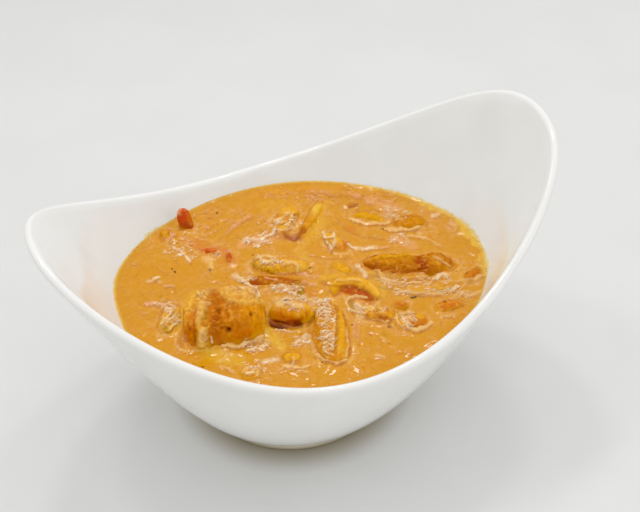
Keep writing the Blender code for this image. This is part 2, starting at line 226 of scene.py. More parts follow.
@dataclass(frozen=True)
class Mark:
    """A soft mark along a few pixels of the reference picture.

    Attributes:
        name: what it shows.
        tint: colour of the mark.
        path: column and row of each pixel that it runs through, in turn.
        width: half width in pixels.
        show: how much of the tint shows.
        lift: how far the surface is raised there, in millimetres.
        broken: how far the mark is broken up into dots and dashes.
        froth: how much fine froth and painted glints show round it.
    """

    name: str
    tint: Tint
    path: tuple
    width: float = 2.0
    show: float = 1.0
    lift: float = 0.0
    broken: float = 0.0
    froth: float = 0.0
    REACH = 2.2
    FALL_POWER = 3

    def weights(self, pixels: Array, grow: float = 0.0) -> Array:
        """Return how strongly the mark shows at each pixel.

        Args:
            pixels: columns and rows, one pair a point.
            grow: how much wider than the mark, in pixels.

        Returns:
            One share a point.
        """
        path = np.reshape(self.path, (-1, 2)).astype(float)
        width = self.width + grow
        reach = self.REACH * width
        near = np.flatnonzero(((pixels > path.min(0) - reach) & (pixels < path.max(0) + reach)).all(1))
        spots = pixels[near]
        nearest = np.full(len(spots), np.inf)
        ends = zip(path[:-1], path[1:]) if len(path) > 1 else [(path[0], path[0])]
        for start, end in ends:
            along = end - start
            length = max(float(along @ along), 1e-9)
            share = np.clip((spots - start) @ along / length, 0.0, 1.0)
            nearest = np.minimum(nearest, np.linalg.norm(spots - start - share[:, None] * along, axis=1))
        result = np.zeros(len(pixels))
        result[near] = np.exp(-((nearest / width) ** self.FALL_POWER))
        return result


@dataclass
class Paint:
    """Colours and relief of a surface, gathered point by point.

    Attributes:
        waver: how far marks are bent, in pixels.
        shade: strength of the painted shade below thin painted highlight marks.
        shade_width: half width from which a painted highlight has no painted shade below it.
        shade_shift: how far that painted shade lies below its mark, in pixels.
        froth_grow: how far froth and painted glints reach beyond their mark, in pixels.
    """

    # Tints of painted highlights.
    LIT = (GLINT, CREAM, PINK)

    points: Array
    base: Tint
    waver: float = 1.3
    shade: float = 0.70
    shade_width: float = 2.5
    shade_shift: tuple = (0.5, 1.9)
    froth_grow: float = 2.6
    bend_size: float = 2.6 * MM
    fine_bend: float = 0.6
    fine_bend_size: float = 1.2 * MM
    bend_seeds: tuple = (3.1, 8.7)
    fine_seed: float = 5.0
    chip_pattern: Pattern = Pattern(1.3 * MM, 19.0, -0.08, 0.12)
    colours: Array = field(init=False)
    lift: Array = field(init=False)
    pixels: Array = field(init=False)
    chips: Array = field(init=False)
    froth: Array = field(init=False)

    def __post_init__(self) -> None:
        """Start from one colour all over, and find the pixels, bent a little so that marks waver."""
        self.colours = np.tile(np.array(self.base.value), (len(self.points), 1))
        self.lift = np.zeros(len(self.points))
        self.froth = np.zeros(len(self.points))
        bend = [noise_at(self.points, self.bend_size, seed)
                + self.fine_bend * noise_at(self.points, self.fine_bend_size, seed + self.fine_seed)
                for seed in self.bend_seeds]
        self.pixels = VIEW.pixels(self.points) + self.waver * np.stack(bend, 1)
        self.chips = self.chip_pattern.lumps(self.points)

    def blend(self, tint: Tint, share: Array) -> None:
        """Mix a tint in, as much as one share a point says."""
        share = np.clip(share, 0.0, 1.0)[:, None]
        self.colours = self.colours * (1 - share) + np.array(tint.value) * share

    def lay(self, marks: tuple, mask: Array) -> None:
        """Lay marks over the surface, each thin painted highlight with a painted shade below it.

        Args:
            marks: the marks, the lowest first.
            mask: where they may show, one share a point.
        """
        for mark in marks:
            kept = mask * (1 - mark.broken * (1 - self.chips))
            # A thin painted highlight gets a painted shade just below it.
            if mark.tint in self.LIT and mark.width < self.shade_width:
                shade = mark.weights(self.pixels - np.array(self.shade_shift)) * kept
                self.blend(BROWN, self.shade * shade * mark.show)
            weight = mark.weights(self.pixels) * kept
            self.blend(mark.tint, weight * mark.show)
            self.lift += weight * mark.lift * MM
            if mark.froth:
                wide = mark.weights(self.pixels, self.froth_grow) * mask
                self.froth = np.maximum(self.froth, wide * mark.froth)

    def store(self, mesh: bpy.types.Mesh) -> None:
        """Keep the colours in the mesh, for its material.

        Args:
            mesh: mesh whose vertices are the points.
        """
        layer = mesh.color_attributes.new("paint", "FLOAT_COLOR", "POINT")
        rgba = np.ones((len(self.colours), 4), np.float32)
        rgba[:, :3] = self.colours
        layer.data.foreach_set("color", rgba.ravel())
        froth = mesh.attributes.new("froth", "FLOAT", "POINT")
        froth.data.foreach_set("value", self.froth.astype(np.float32))


def rows_of(items: bpy.types.bpy_prop_collection, name: str) -> Array:
    """Return three numbers of each item of a mesh, one row each."""
    flat = np.zeros(len(items) * 3, np.float32)
    items.foreach_get(name, flat)
    return flat.reshape(-1, 3).astype(float)


def move_points(mesh: bpy.types.Mesh, points: Array) -> None:
    """Put a mesh's vertices at new places, one row each."""
    mesh.vertices.foreach_set("co", points.astype(np.float32).ravel())
    mesh.update()


def add_piece(name: str, bm: bmesh.types.BMesh, material: bpy.types.Material | None) -> Piece:
    """Turn a bmesh into a smooth-shaded object of the scene.

    Args:
        name: name of the object.
        bm: its shape, which is freed.
        material: its finish.

    Returns:
        The new object.
    """
    mesh = bpy.data.meshes.new(name)
    bm.to_mesh(mesh)
    bm.free()
    mesh.shade_smooth()
    if material:
        mesh.materials.append(material)
    piece = bpy.data.objects.new(name, mesh)
    bpy.context.scene.collection.objects.link(piece)
    return piece


def settle(piece: Piece, slot: Slot, *nodes: str) -> None:
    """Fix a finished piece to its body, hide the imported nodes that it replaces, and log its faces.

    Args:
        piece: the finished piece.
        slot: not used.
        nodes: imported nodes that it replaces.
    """
    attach(piece, BODY)
    if nodes:
        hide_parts(*nodes)
    LOG.info("%s: %d faces", piece.name, len(piece.data.polygons))


class Shading:
    """A node tree under construction."""

    def __init__(self, tree: bpy.types.NodeTree) -> None:
        """Keep the tree that the nodes go into."""
        self.tree = tree

    def add(self, kind: str, inputs: dict | None = None, **settings: object) -> bpy.types.Node:
        """Add a node.

        Args:
            kind: Blender's name of the node type.
            inputs: socket name or number to a value, or to the output that feeds it.
            settings: properties of the node.

        Returns:
            The new node.
        """
        node = self.tree.nodes.new(kind)
        for name, value in settings.items():
            setattr(node, name, value)
        for name, value in (inputs or {}).items():
            self.feed(node.inputs[name], value)
        return node

    def feed(self, socket: Socket, value: object) -> None:
        """Link an output to an input, or set the input to a value."""
        if isinstance(value, Socket):
            self.tree.links.new(value, socket)
        else:
            socket.default_value = value

    def noise(self, vector: Socket, size: float, detail: float = 2.0, rough: float = 0.5) -> Socket:
        """Return noise between 0 and 1, with lumps of a size in metres, and octaves of finer detail."""
        node = self.add("ShaderNodeTexNoise", {"Vector": vector, "Scale": 1 / size, "Detail": detail,
                                               "Roughness": rough})
        return node.outputs[0]

    def ramp(self, value: Socket, low: float, high: float, out_low: float = 0.0,
             out_high: float = 1.0) -> Socket:
        """Return a value spread smoothly from the range low to high to another range."""
        node = self.add("ShaderNodeMapRange", {0: value, 1: low, 2: high, 3: out_low, 4: out_high},
                        interpolation_type="SMOOTHSTEP")
        return node.outputs[0]

    def math(self, operation: str, first: object, second: object) -> Socket:
        """Return the result of a sum on two values or outputs."""
        return self.add("ShaderNodeMath", {0: first, 1: second}, operation=operation).outputs[0]

    def turned(self, vector: Socket, turn: float, scale: tuple, shift: tuple = (0.0, 0.0, 0.0)) -> Socket:
        """Return coordinates scaled, turned about the upright axis and then shifted."""
        return self.add("ShaderNodeMapping", {"Vector": vector, "Location": shift, "Scale": scale,
                                              "Rotation": (0.0, 0.0, turn)}).outputs[0]

    def times(self, first: object, second: object) -> Socket:
        """Return two values or outputs multiplied."""
        return self.math("MULTIPLY", first, second)

    def mix(self, share: object, first: object, second: object) -> Socket:
        """Return a mix of two colours or outputs, with a share of the second."""
        first, second = (value if isinstance(value, Socket) else (*value, 1.0) for value in (first, second))
        return self.add("ShaderNodeMix", {0: share, 6: first, 7: second}, data_type="RGBA").outputs[2]


class Finish(Shading):
    """A material under construction."""

    def __init__(self, name: str) -> None:
        """Start the material, and find its shader and the object's own coordinates."""
        self.material = bpy.data.materials.new(name)
        self.material.use_nodes = True
        super().__init__(self.material.node_tree)
        self.shader = self.tree.nodes["Principled BSDF"]
        self.place = self.add("ShaderNodeTexCoord").outputs["Object"]

    def attribute(self, name: str, output: str) -> Socket:
        """Return an output of the mesh's attribute of that name."""
        return self.add("ShaderNodeAttribute", attribute_name=name).outputs[output]

    def done(self, inputs: dict) -> bpy.types.Material:
        """Set inputs of the shader, each to a value or an output, and return the material."""
        for name, value in inputs.items():
            self.feed(self.shader.inputs[name], value)
        return self.material


class CurryTexture:
    """The shared node group of everything wet with curry: mottling, specks and fine relief."""

    NAME = "curry_texture"
    INPUTS = (("Vector", "NodeSocketVector", None), ("Paint", "NodeSocketColor", None),
              ("Cream", "NodeSocketFloat", 0.2), ("Oil", "NodeSocketFloat", 0.3),
              ("Specks", "NodeSocketFloat", 0.3), ("Grain", "NodeSocketFloat", 0.5),
              ("Froth", "NodeSocketFloat", 0.0))
    CREAM_SIZE = 3.0 * MM
    OIL_SIZE = 2.2 * MM
    SPECK_SIZE = 1.5 * MM
    GRAIN_SIZE = 0.9 * MM
    BROAD_GRAIN = (4.0, 0.65)
    FINE_GRAIN = (2.0, 0.6)
    SPECK_GRAIN = (1.0,)
    CREAM_RANGE = (0.48, 0.70)
    OIL_RANGE = (0.48, 0.66)
    SPECK_RANGE = (0.69, 0.76)
    FROTH_SIZE = 2.2 * MM
    FROTH_GRAIN = (2.0, 0.55)
    FROTH_STRETCH = 2.2
    FROTH_TURN = math.radians(-12.0)
    FROTH_RANGE = (0.57, 0.65)
    FROTH_SHADE = (0.0, 0.75 * MM, 0.0)
    FROTH_SHADE_SHOW = 0.7
    FROTH_BUMP = 1.5

    @classmethod
    def ridges(cls, shading: Shading, vector: Socket, shift: tuple = (0.0, 0.0, 0.0)) -> Socket:
        """Return short dashes of froth and painted glints, 1 on each dash, moved by a shift."""
        turned = shading.turned(vector, cls.FROTH_TURN, (1.0, cls.FROTH_STRETCH, 1.0), shift)
        return shading.ramp(shading.noise(turned, cls.FROTH_SIZE, *cls.FROTH_GRAIN), *cls.FROTH_RANGE)

    @classmethod
    def group(cls) -> bpy.types.NodeTree:
        """Return the group, built on first use."""
        found = bpy.data.node_groups.get(cls.NAME)
        if found:
            return found
        tree = bpy.data.node_groups.new(cls.NAME, "ShaderNodeTree")
        for name, kind, value in cls.INPUTS:
            socket = tree.interface.new_socket(name, in_out="INPUT", socket_type=kind)
            if value is not None:
                socket.default_value = value
        tree.interface.new_socket("Color", in_out="OUTPUT", socket_type="NodeSocketColor")
        tree.interface.new_socket("Height", in_out="OUTPUT", socket_type="NodeSocketFloat")
        shading = Shading(tree)
        source = shading.add("NodeGroupInput").outputs
        vector = source["Vector"]
        froth = source["Froth"]
        # Dashes of froth that are also painted glints, and the same dashes shifted as their painted shade.
        line = shading.times(cls.ridges(shading, vector), froth)
        shade = shading.times(cls.ridges(shading, vector, cls.FROTH_SHADE), froth)
        colour = source["Paint"]
        for size, grain, limits, strength, tint in (
                (cls.CREAM_SIZE, cls.BROAD_GRAIN, cls.CREAM_RANGE, "Cream", CREAM),
                (cls.OIL_SIZE, cls.BROAD_GRAIN, cls.OIL_RANGE, "Oil", AMBER),
                (cls.SPECK_SIZE, cls.SPECK_GRAIN, cls.SPECK_RANGE, "Specks", RUST)):
            spots = shading.ramp(shading.noise(vector, size, *grain), *limits)
            colour = shading.mix(shading.times(spots, source[strength]), colour, tint.value)
        # Mix in the painted shade, then the white painted glints.
        colour = shading.mix(shading.times(shade, cls.FROTH_SHADE_SHOW), colour, BROWN.value)
        colour = shading.mix(line, colour, WHITE.value)
        grain = shading.noise(vector, cls.GRAIN_SIZE, *cls.FINE_GRAIN)
        height = shading.math("ADD", shading.times(grain, source["Grain"]),
                              shading.times(line, cls.FROTH_BUMP))
        result = shading.add("NodeGroupOutput")
        tree.links.new(colour, result.inputs["Color"])
        tree.links.new(height, result.inputs["Height"])
        return tree


@dataclass(frozen=True)
class WetFood:
    """Finish of food that is wet with curry. Its main colours are painted on the mesh.

    Attributes:
        fibre: strength of dark fibres, none at 0.
        fibre_turn: direction of the fibres, in degrees.
        bounce: colour that the food throws on what lies round it.
    """

    name: str
    roughness: float = 0.40
    specular: float = 0.06
    coat: float = 0.22
    coat_roughness: float = 0.10
    cream: float = 0.20
    oil: float = 0.30
    specks: float = 0.25
    grain: float = 0.6
    bump: float = 0.25
    bump_height: float = 0.35 * MM
    fibre: float = 0.0
    fibre_turn: float = 0.0
    fibre_size: float = 1.1 * MM
    fibre_stretch: float = 9.0
    fibre_grain: tuple = (3.0, 0.6)
    fibre_range: tuple = (0.42, 0.62)
    fibre_bump: float = 2.0
    bounce: tuple = (0.74, 0.70, 0.64)

    def material(self) -> bpy.types.Material:
        """Return the material, built on first use."""
        found = bpy.data.materials.get(self.name)
        if found:
            return found
        finish = Finish(self.name)
        texture = finish.add("ShaderNodeGroup", node_tree=CurryTexture.group())
        for name, value in (("Vector", finish.place), ("Paint", finish.attribute("paint", "Color")),
                            ("Cream", self.cream), ("Oil", self.oil), ("Specks", self.specks),
                            ("Grain", self.grain), ("Froth", finish.attribute("froth", "Fac"))):
            finish.feed(texture.inputs[name], value)
        colour = texture.outputs["Color"]
        height = texture.outputs["Height"]
        if self.fibre:
            along = finish.turned(finish.place, math.radians(self.fibre_turn), (self.fibre_stretch, 1.0, 1.0))
            strands = finish.noise(along, self.fibre_size * self.fibre_stretch / 2, *self.fibre_grain)
            dark = finish.ramp(strands, *self.fibre_range, 0.0, self.fibre)
            colour = finish.mix(dark, colour, RUST.value)
            height = finish.math("ADD", height, finish.times(strands, self.fibre * self.fibre_bump))
        bounced = finish.add("ShaderNodeLightPath").outputs["Is Diffuse Ray"]
        bump = finish.add("ShaderNodeBump", {"Strength": self.bump, "Distance": self.bump_height,
                                             "Height": height})
        return finish.done({"Base Color": finish.mix(bounced, colour, self.bounce),
                            "Normal": bump.outputs[0], "Roughness": self.roughness,
                            "Specular IOR Level": self.specular, "Coat Weight": self.coat,
                            "Coat Roughness": self.coat_roughness})


@dataclass(frozen=True)
class Glaze:
    """Finish of the porcelain: glossy white, bare on the foot's underside and darkened there as painted
    contact shade, with painted warm shade low on the outside and a film of sauce above the sauce's edge."""

    white: tuple = (0.890, 0.893, 0.885)
    bare_foot_and_contact_shade: tuple = (0.400, 0.345, 0.235)
    clouded: tuple = (0.700, 0.680, 0.640)
    film: tuple = (0.860, 0.640, 0.160)
    roughness: float = 0.11
    bare_roughness: float = 0.65
    bare_height: float = 2.6 * MM
    foot_warm_shade: tuple = (0.800, 0.770, 0.640)
    foot_warm_shade_height: float = 17 * MM
    bare_soft: float = 0.2
    cloud_show: float = 0.12
    ragged_size: float = 2.2 * MM
    ragged_grain: tuple = (4.0, 0.7)
    noise_range: tuple = (0.3, 0.7)
    wave_size: float = 22 * MM
    wave_grain: float = 1.0
    wave_bump: float = 0.05
    wave_height: float = 1.0 * MM
    film_soft: float = 0.7 * MM
    film_start: float = 0.2 * MM
    film_show: float = 0.80
    coat: float = 0.25
    coat_roughness: float = 0.05

    def material(self, level: float) -> bpy.types.Material:
        """Return the glaze.

        Args:
            level: height of the sauce's edge.

        Returns:
            The material, which reads the mesh's "film" attribute as the film's height above the level.
        """
        finish = Finish("glazed_porcelain")
        height = finish.add("ShaderNodeSeparateXYZ", {0: finish.place}).outputs[2]
        reach = finish.attribute("film", "Fac")
        ragged = finish.ramp(finish.noise(finish.place, self.ragged_size, *self.ragged_grain),
                             *self.noise_range)
        top = finish.math("ADD", finish.times(ragged, reach), level)
        over = finish.math("SUBTRACT", top, height)
        film = finish.times(finish.ramp(over, -self.film_soft, self.film_soft),
                            finish.ramp(reach, 0.0, self.film_start))
        clouds = finish.ramp(finish.noise(finish.place, self.wave_size), *self.noise_range, 0.0,
                             self.cloud_show)
        colour = finish.mix(clouds, self.white, self.clouded)
        colour = finish.mix(finish.times(film, self.film_show), colour, self.film)
        # Painted warm shade low on the outer wall, fading out upwards.
        low = finish.ramp(height, self.foot_warm_shade_height, self.bare_height)
        colour = finish.mix(low, colour, self.foot_warm_shade)
        # Bare foot, darkened as painted contact shade.
        foot = (height, self.bare_height, self.bare_soft * self.bare_height)
        colour = finish.mix(finish.ramp(*foot), colour, self.bare_foot_and_contact_shade)
        swell = finish.noise(finish.place, self.wave_size, self.wave_grain)
        wave = finish.add("ShaderNodeBump", {"Strength": self.wave_bump, "Distance": self.wave_height,
                                             "Height": swell})
        return finish.done({"Base Color": colour, "Normal": wave.outputs[0],
                            "Roughness": finish.ramp(*foot, self.roughness, self.bare_roughness),
                            "Coat Weight": self.coat, "Coat Roughness": self.coat_roughness})


@dataclass(frozen=True)
class BowlForm:
    """The bowl's shape, by the same formulas and sizes as its solid."""

    rim_length: float = 227.4 * MM
    rim_half_width: float = 77.4 * MM
    rim_end_triple: float = -0.034
    rim_end_fifth: float = -0.012
    rim_side_triple: float = -0.074
    rim_egg: float = 0.069
    rim_low_height: float = 70.5 * MM
    rim_low_x: float = -8.9 * MM
    rim_rise_right: float = 37.0 * MM
    rim_rise_left: float = 43.0 * MM
    rise_reach: float = 100 * MM
    rise_power_right: float = 2.09
    rise_power_left: float = 1.955
    wall: float = 3.8 * MM
    foot_x: float = -4.4 * MM
    foot_radius: float = 43.5 * MM
    foot_neck_radius: float = 41.5 * MM
    foot_height: float = 5.2 * MM
    foot_ring_width: float = 4.5 * MM
    foot_edge: float = 0.8 * MM
    recess_height: float = 3.6 * MM
    floor_share: float = 0.5
    lip_drop: float = 0.65
    flare: tuple = (0.608, -0.112, 0.041, -0.072)
    slope_step: float = 0.01
    halvings: int = 24

    def rim(self, angle: float) -> Vector:
        """Return the crest of the lip at an angle round the bowl."""
        ends = (math.cos(angle) + self.rim_end_triple * math.cos(3 * angle)
                + self.rim_end_fifth * math.cos(5 * angle))
        sides = math.sin(angle) + self.rim_side_triple * math.sin(3 * angle)
        x = self.rim_length / 2 * ends / (1 + self.rim_end_triple + self.rim_end_fifth)
        y = (self.rim_half_width * sides / (1 - self.rim_side_triple)
             * (1 + self.rim_egg * math.cos(angle)))
        reach = (x - self.rim_low_x) / self.rise_reach
        if reach > 0:
            rise = self.rim_rise_right * reach ** self.rise_power_right
        else:
            rise = self.rim_rise_left * (-reach) ** self.rise_power_left
        return Vector((x, y, self.rim_low_height + rise))

    def outer(self, angle: float, share: float) -> Vector:
        """Return the outer wall: share 0 is at the top of the foot, share 1 just below the lip."""
        rim = self.rim(angle)
        base = Vector((self.foot_x + self.foot_neck_radius * math.cos(angle),
                       self.foot_neck_radius * math.sin(angle), 0.0))
        flare = sum(value * math.cos(turns * angle) for turns, value in enumerate(self.flare))
        plan = base.lerp(rim, share)
        top = rim.z - self.lip_drop * self.wall
        return Vector((plan.x, plan.y, self.foot_height + (top - self.foot_height) * share ** (1 / flare)))

    def directions(self, angle: float, share: float) -> tuple[Vector, Vector]:
        """Return the outer wall's outward normal and its upward direction."""
        step = self.slope_step
        along = self.outer(angle + step, share) - self.outer(angle - step, share)
        low = max(share - step, 0.0)
        up = (self.outer(angle, low + 2 * step) - self.outer(angle, low)).normalized()
        return along.cross(up).normalized(), up

    def inner(self, angle: float, share: float, gap: float = 0.0) -> Vector:
        """Return the inner wall, or a surface that keeps a gap from it."""
        normal, _ = self.directions(angle, share)
        return self.outer(angle, share) - normal * (self.wall + gap)

    def share_at(self, angle: float, level: float, gap: float) -> float:
        """Find by halving where the inner wall passes a level."""
        low, high = 0.0, 1.0
        for _ in range(self.halvings):
            middle = (low + high) / 2
            if self.inner(angle, middle, gap).z < level:
                low = middle
            else:
                high = middle
        return (low + high) / 2

    def circle(self, radius: float, height: float, slices: int) -> list[Vector]:
        """Return a level ring of the foot or of the floor of the bowl."""
        angles = (TAU * index / slices for index in range(slices))
        return [Vector((self.foot_x + radius * math.cos(a), radius * math.sin(a), height)) for a in angles]


FORM = BowlForm()


def loft(rings: list[list[Vector]]) -> bmesh.types.BMesh:
    """Skin a stack of rings, and close its first and last ring with a fan.

    Args:
        rings: rings of equally many points, from one end to the other.

    Returns:
        The closed skin.
    """
    bm = bmesh.new()
    slot = bm.verts.layers.int.new("slice")
    first = []
    for index, point in enumerate(rings[0]):
        vert = bm.verts.new(point)
        vert[slot] = index
        first.append(vert)
    edges = [bm.edges.new((first[i], first[(i + 1) % len(first)])) for i in range(len(first))]
    bottom = bmesh.ops.contextual_create(bm, geom=edges)["faces"]
    for ring in rings[1:]:
        grown = bmesh.ops.extrude_edge_only(bm, edges=edges)["geom"]
        edges = [item for item in grown if isinstance(item, bmesh.types.BMEdge)]
        for vert in (item for item in grown if isinstance(item, bmesh.types.BMVert)):
            vert.co = ring[vert[slot]]
    top = bmesh.ops.contextual_create(bm, geom=edges)["faces"]
    bmesh.ops.poke(bm, faces=bottom + top)
    bmesh.ops.recalc_face_normals(bm, faces=bm.faces)
    return bm


@dataclass
class ServingBowl:
    """The porcelain bowl, in fine slices, with its thin film of sauce.

    Attributes:
        lip_trim: how much smaller the round lip is than half the wall.
        fit: scale along each axis that keeps the fine lip inside the coarser solid's box.
        film_low: how high the film of sauce climbs all round.
        recess_shares: rings under the foot, as shares of the recess.
        corner_share: ring in the corner of the inner floor, as a share of the foot's neck.
        film_bursts: middle and spread in radians, and height, of the places where the film climbs.
    """

    slices: int = 256
    wall_rings: int = 44
    lip_steps: int = 14
    foot_steps: int = 5
    lip_trim: float = 0.965
    fit: tuple = (0.9997, 0.9982, 0.9999)
    film_low: float = 0.35 * MM
    recess_shares: tuple = (0.3, 0.7)
    corner_share: float = 0.75
    corner_lift: float = 1.05
    film_bursts: tuple = ((0.06, 0.16, 1.5 * MM), (-0.24, 0.09, 2.2 * MM), (0.45, 0.25, 0.8 * MM),
                          (2.30, 0.10, 1.8 * MM), (2.90, 0.30, 0.6 * MM))

    def foot_rings(self) -> list[list[Vector]]:
        """Return the rings from the middle of the recess to the neck of the foot."""
        inside = FORM.foot_radius - FORM.foot_ring_width
        edge = FORM.foot_edge
        turns = [math.pi / 2 * step / self.foot_steps for step in range(self.foot_steps + 1)]
        profile = [(share * inside, FORM.recess_height) for share in self.recess_shares]
        profile.append((inside - 2 * edge, FORM.recess_height))
        profile += [(inside - 2 * edge + 2 * edge * math.sin(turn),
                     FORM.recess_height - 2 * edge + 2 * edge * math.cos(turn)) for turn in turns[1:]]
        profile += [(inside + edge - edge * math.cos(turn), edge - edge * math.sin(turn)) for turn in turns]
        profile += [(FORM.foot_radius - edge + edge * math.sin(turn), edge - edge * math.cos(turn))
                    for turn in turns]
        profile.append((FORM.foot_neck_radius + edge, FORM.foot_height - 2 * edge))
        profile.append((FORM.foot_neck_radius + edge / 3, FORM.foot_height - edge))
        return [FORM.circle(radius, height, self.slices) for radius, height in profile]

    def wall_shares(self) -> list[float]:
        """Return the heights of the rings along the wall."""
        return [index / self.wall_rings for index in range(self.wall_rings + 1)]

    def lip_ring(self, swing: float) -> list[Vector]:
        """Return one ring of the round lip, at an angle over its crest."""
        ring = []
        radius = FORM.wall / 2
        for index in range(self.slices):
            angle = TAU * index / self.slices
            normal, up = FORM.directions(angle, 1.0)
            centre = FORM.outer(angle, 1.0) - normal * radius
            bulge = radius * (self.lip_trim if 0 < swing < math.pi else 1.0)
            ring.append(centre + (normal * math.cos(swing) + up * math.sin(swing)) * bulge)
        return ring

    def film_reach(self, points: Array) -> Array:
        """Return how high the film of sauce climbs on the inner wall, 0 elsewhere."""
        angles = np.arctan2(points[:, 1], points[:, 0] - FORM.foot_x)
        reach = np.full(len(points), self.film_low)
        for middle, spread, height in self.film_bursts:
            reach += height * bell(swing_from(angles, middle), spread)
        return reach

    def build(self, level: float) -> None:
        """Build the bowl round the sauce.

        Args:
            level: height of the sauce's edge.
        """
        angles = [TAU * index / self.slices for index in range(self.slices)]
        rings = self.foot_rings()
        rings += [[FORM.outer(angle, share) for angle in angles] for share in self.wall_shares()]
        outer_count = len(rings)
        rings += [self.lip_ring(math.pi * step / self.lip_steps) for step in range(1, self.lip_steps)]
        rings += [[FORM.inner(angle, share) for angle in angles] for share in reversed(self.wall_shares())]
        for share, lift in ((self.corner_share, self.corner_lift), (FORM.floor_share, 1.0)):
            rings.append(FORM.circle(FORM.foot_neck_radius * share, FORM.foot_height + FORM.wall * lift,
                                     self.slices))
        bowl = add_piece("porcelain_bowl", loft(rings), Glaze().material(level))
        points = rows_of(bowl.data.vertices, "co") * np.array(self.fit)
        move_points(bowl.data, points)
        reach = self.film_reach(points)
        reach[:outer_count * self.slices] = 0.0
        layer = bowl.data.attributes.new("film", "FLOAT", "POINT")
        layer.data.foreach_set("value", reach.astype(np.float32))
        settle(bowl, Slot.PORCELAIN, "bowl")


@dataclass
class SauceTop:
    """The top of the sauce, measured vertex by vertex, and the forms and tints that follow from it.

    Attributes:
        points: its vertices, at the sauce's level.
        rim_gap: distance from the glaze.
        distance: distance from the nearest piece.
        rise: how far that piece rises, as a share of full_rise.
        below: whether the vertex lies below a piece.
        full_rise: height of a piece with the strongest swell.
        busy: where raised threads with painted highlights and shade lie thick.
        faint: where they lie thin, over the rest.
        swell: height to which the sauce climbs a piece.
        rill: the small ridge that runs round a piece.
        tuck: how far the top dips below a piece.
        rim_bands: middle and spread in radians, and width, of the yellow film by the glaze.
    """

    points: Array
    rim_gap: Array
    distance: Array
    rise: Array
    below: Array
    full_rise: float = 5.0 * MM
    inland_reach: float = 3 * MM
    busy_reach: float = 6 * MM
    busy_pattern: Pattern = Pattern(7 * MM, 29.0, -0.35, 0.15)
    faint_pattern: Pattern = Pattern(26 * MM, 17.0, 0.0, 0.4)
    faint_show: float = 0.25
    ragged_pattern: Pattern = Pattern(3.4 * MM, 41.0)
    gate_pattern: Pattern = Pattern(5.5 * MM, 43.0, -0.2, 0.2)
    bend_patterns: tuple = (Pattern(7 * MM, 21.0), Pattern(7 * MM, 33.0))
    bend: float = 2.2 * MM
    ripple_height: float = 0.80 * MM
    ripple: Pattern = Pattern(15 * MM, 0.3)
    fine_ripple: Pattern = Pattern(15 * MM / 2.3, 1.3)
    grain_height: float = 0.10 * MM
    grain: Pattern = Pattern(2.6 * MM, 4.0)
    thread_height: float = 0.62 * MM
    thread: Pattern = Pattern(6.5 * MM, 11.0)
    thread_sharpness: float = 3.6
    fine_thread: Pattern = Pattern(6.5 * MM / 2.2, 12.0)
    fine_sharpness: float = 3.0
    thread_power: float = 1.5
    fine_share: float = 0.5
    meniscus: float = 0.1 * MM
    meniscus_reach: float = 1.6 * MM
    meniscus_waver: float = 0.6
    swell: float = 3.0 * MM
    swell_share: float = 0.50
    swell_waver: float = 0.55
    swell_reach: float = 1.2 * MM
    inner_reach: float = 1.6 * MM
    tuck: float = 1.5 * MM
    tuck_range: tuple = (0.5 * MM, 2.0 * MM)
    rill_place: float = 1.7 * MM
    rill_waver: float = 0.5
    rill_width: float = 0.55 * MM
    rill_height: float = 0.42 * MM
    crest_sharpness: float = 9.0
    crest_highlight_show: float = 0.75
    crest_faint: float = 0.6
    chip_pattern: Pattern = Pattern(2.2 * MM, 49.0, -0.1, 0.15)
    rill_highlight_show: float = 0.45
    flank_sharpness: float = 7.0
    flank_side: tuple = (-0.1, 1.0, 0.0)
    flank_shift: float = 0.9 * MM
    flank_shade_show: float = 0.32
    flank_faint: float = 0.5
    fine_highlight_show: float = 0.35
    oil_pattern: Pattern = Pattern(9 * MM, 51.0, 0.12, 0.4)
    oil_show: float = 0.75
    glow_reach: float = 3.5 * MM
    glow_share: float = 0.7
    glow_waver: float = 0.6
    foot_shade_line_reach: float = 0.7 * MM
    shade_reach: float = 0.6 * MM
    foot_show: float = 0.55
    edge_reach: float = 1.1 * MM
    edge_show: float = 0.85
    froth_pattern: Pattern = Pattern(8 * MM, 57.0, 0.05, 0.4)
    froth_show: float = 0.35
    rim_bands: tuple = ((0.03, 0.16, 2.5 * MM), (-0.20, 0.09, 2.0 * MM), (0.30, 0.14, 2.0 * MM),
                        (0.60, 0.25, 0.9 * MM), (1.10, 0.40, 0.5 * MM), (2.85, 0.35, 0.4 * MM))
    band_least: float = 0.15 * MM
    band_pattern: Pattern = Pattern(1.6 * MM, 47.0)
    band_waver: tuple = (0.5, 0.3)
    band_soft: float = 0.9 * MM
    band_tints: tuple = ((YELLOW, 0.85, 2.0), (FILM, 0.8, 0.45))
    inland: Array = field(init=False)
    busy: Array = field(init=False)
    faint: Array = field(init=False)
    ragged: Array = field(init=False)
    gate: Array = field(init=False)
    bent: Array = field(init=False)
    fine: Array = field(init=False)
    rill: Array = field(init=False)

    def __post_init__(self) -> None:
        """Find what the relief and the tints share."""
        self.inland = smooth_step(self.rim_gap, 0.0, self.inland_reach)
        self.busy = np.where(self.below, 0.0, np.exp(-self.distance / self.busy_reach))
        self.busy *= self.busy_pattern.lumps(self.points)
        self.faint = self.faint_show * self.faint_pattern.lumps(self.points)
        self.ragged = self.ragged_pattern.values(self.points)
        self.gate = self.gate_pattern.lumps(self.points)
        bend = [pattern.values(self.points) for pattern in self.bend_patterns]
        self.bent = self.points + self.bend * np.stack([*bend, np.zeros(len(self.points))], 1)
        self.fine = crests(self.fine_thread.values(self.bent), self.fine_sharpness) ** self.thread_power
        place = self.rill_place * (1 + self.rill_waver * self.ragged)
        self.rill = bell(self.distance - place, self.rill_width) * (self.gate * self.rise * ~self.below)

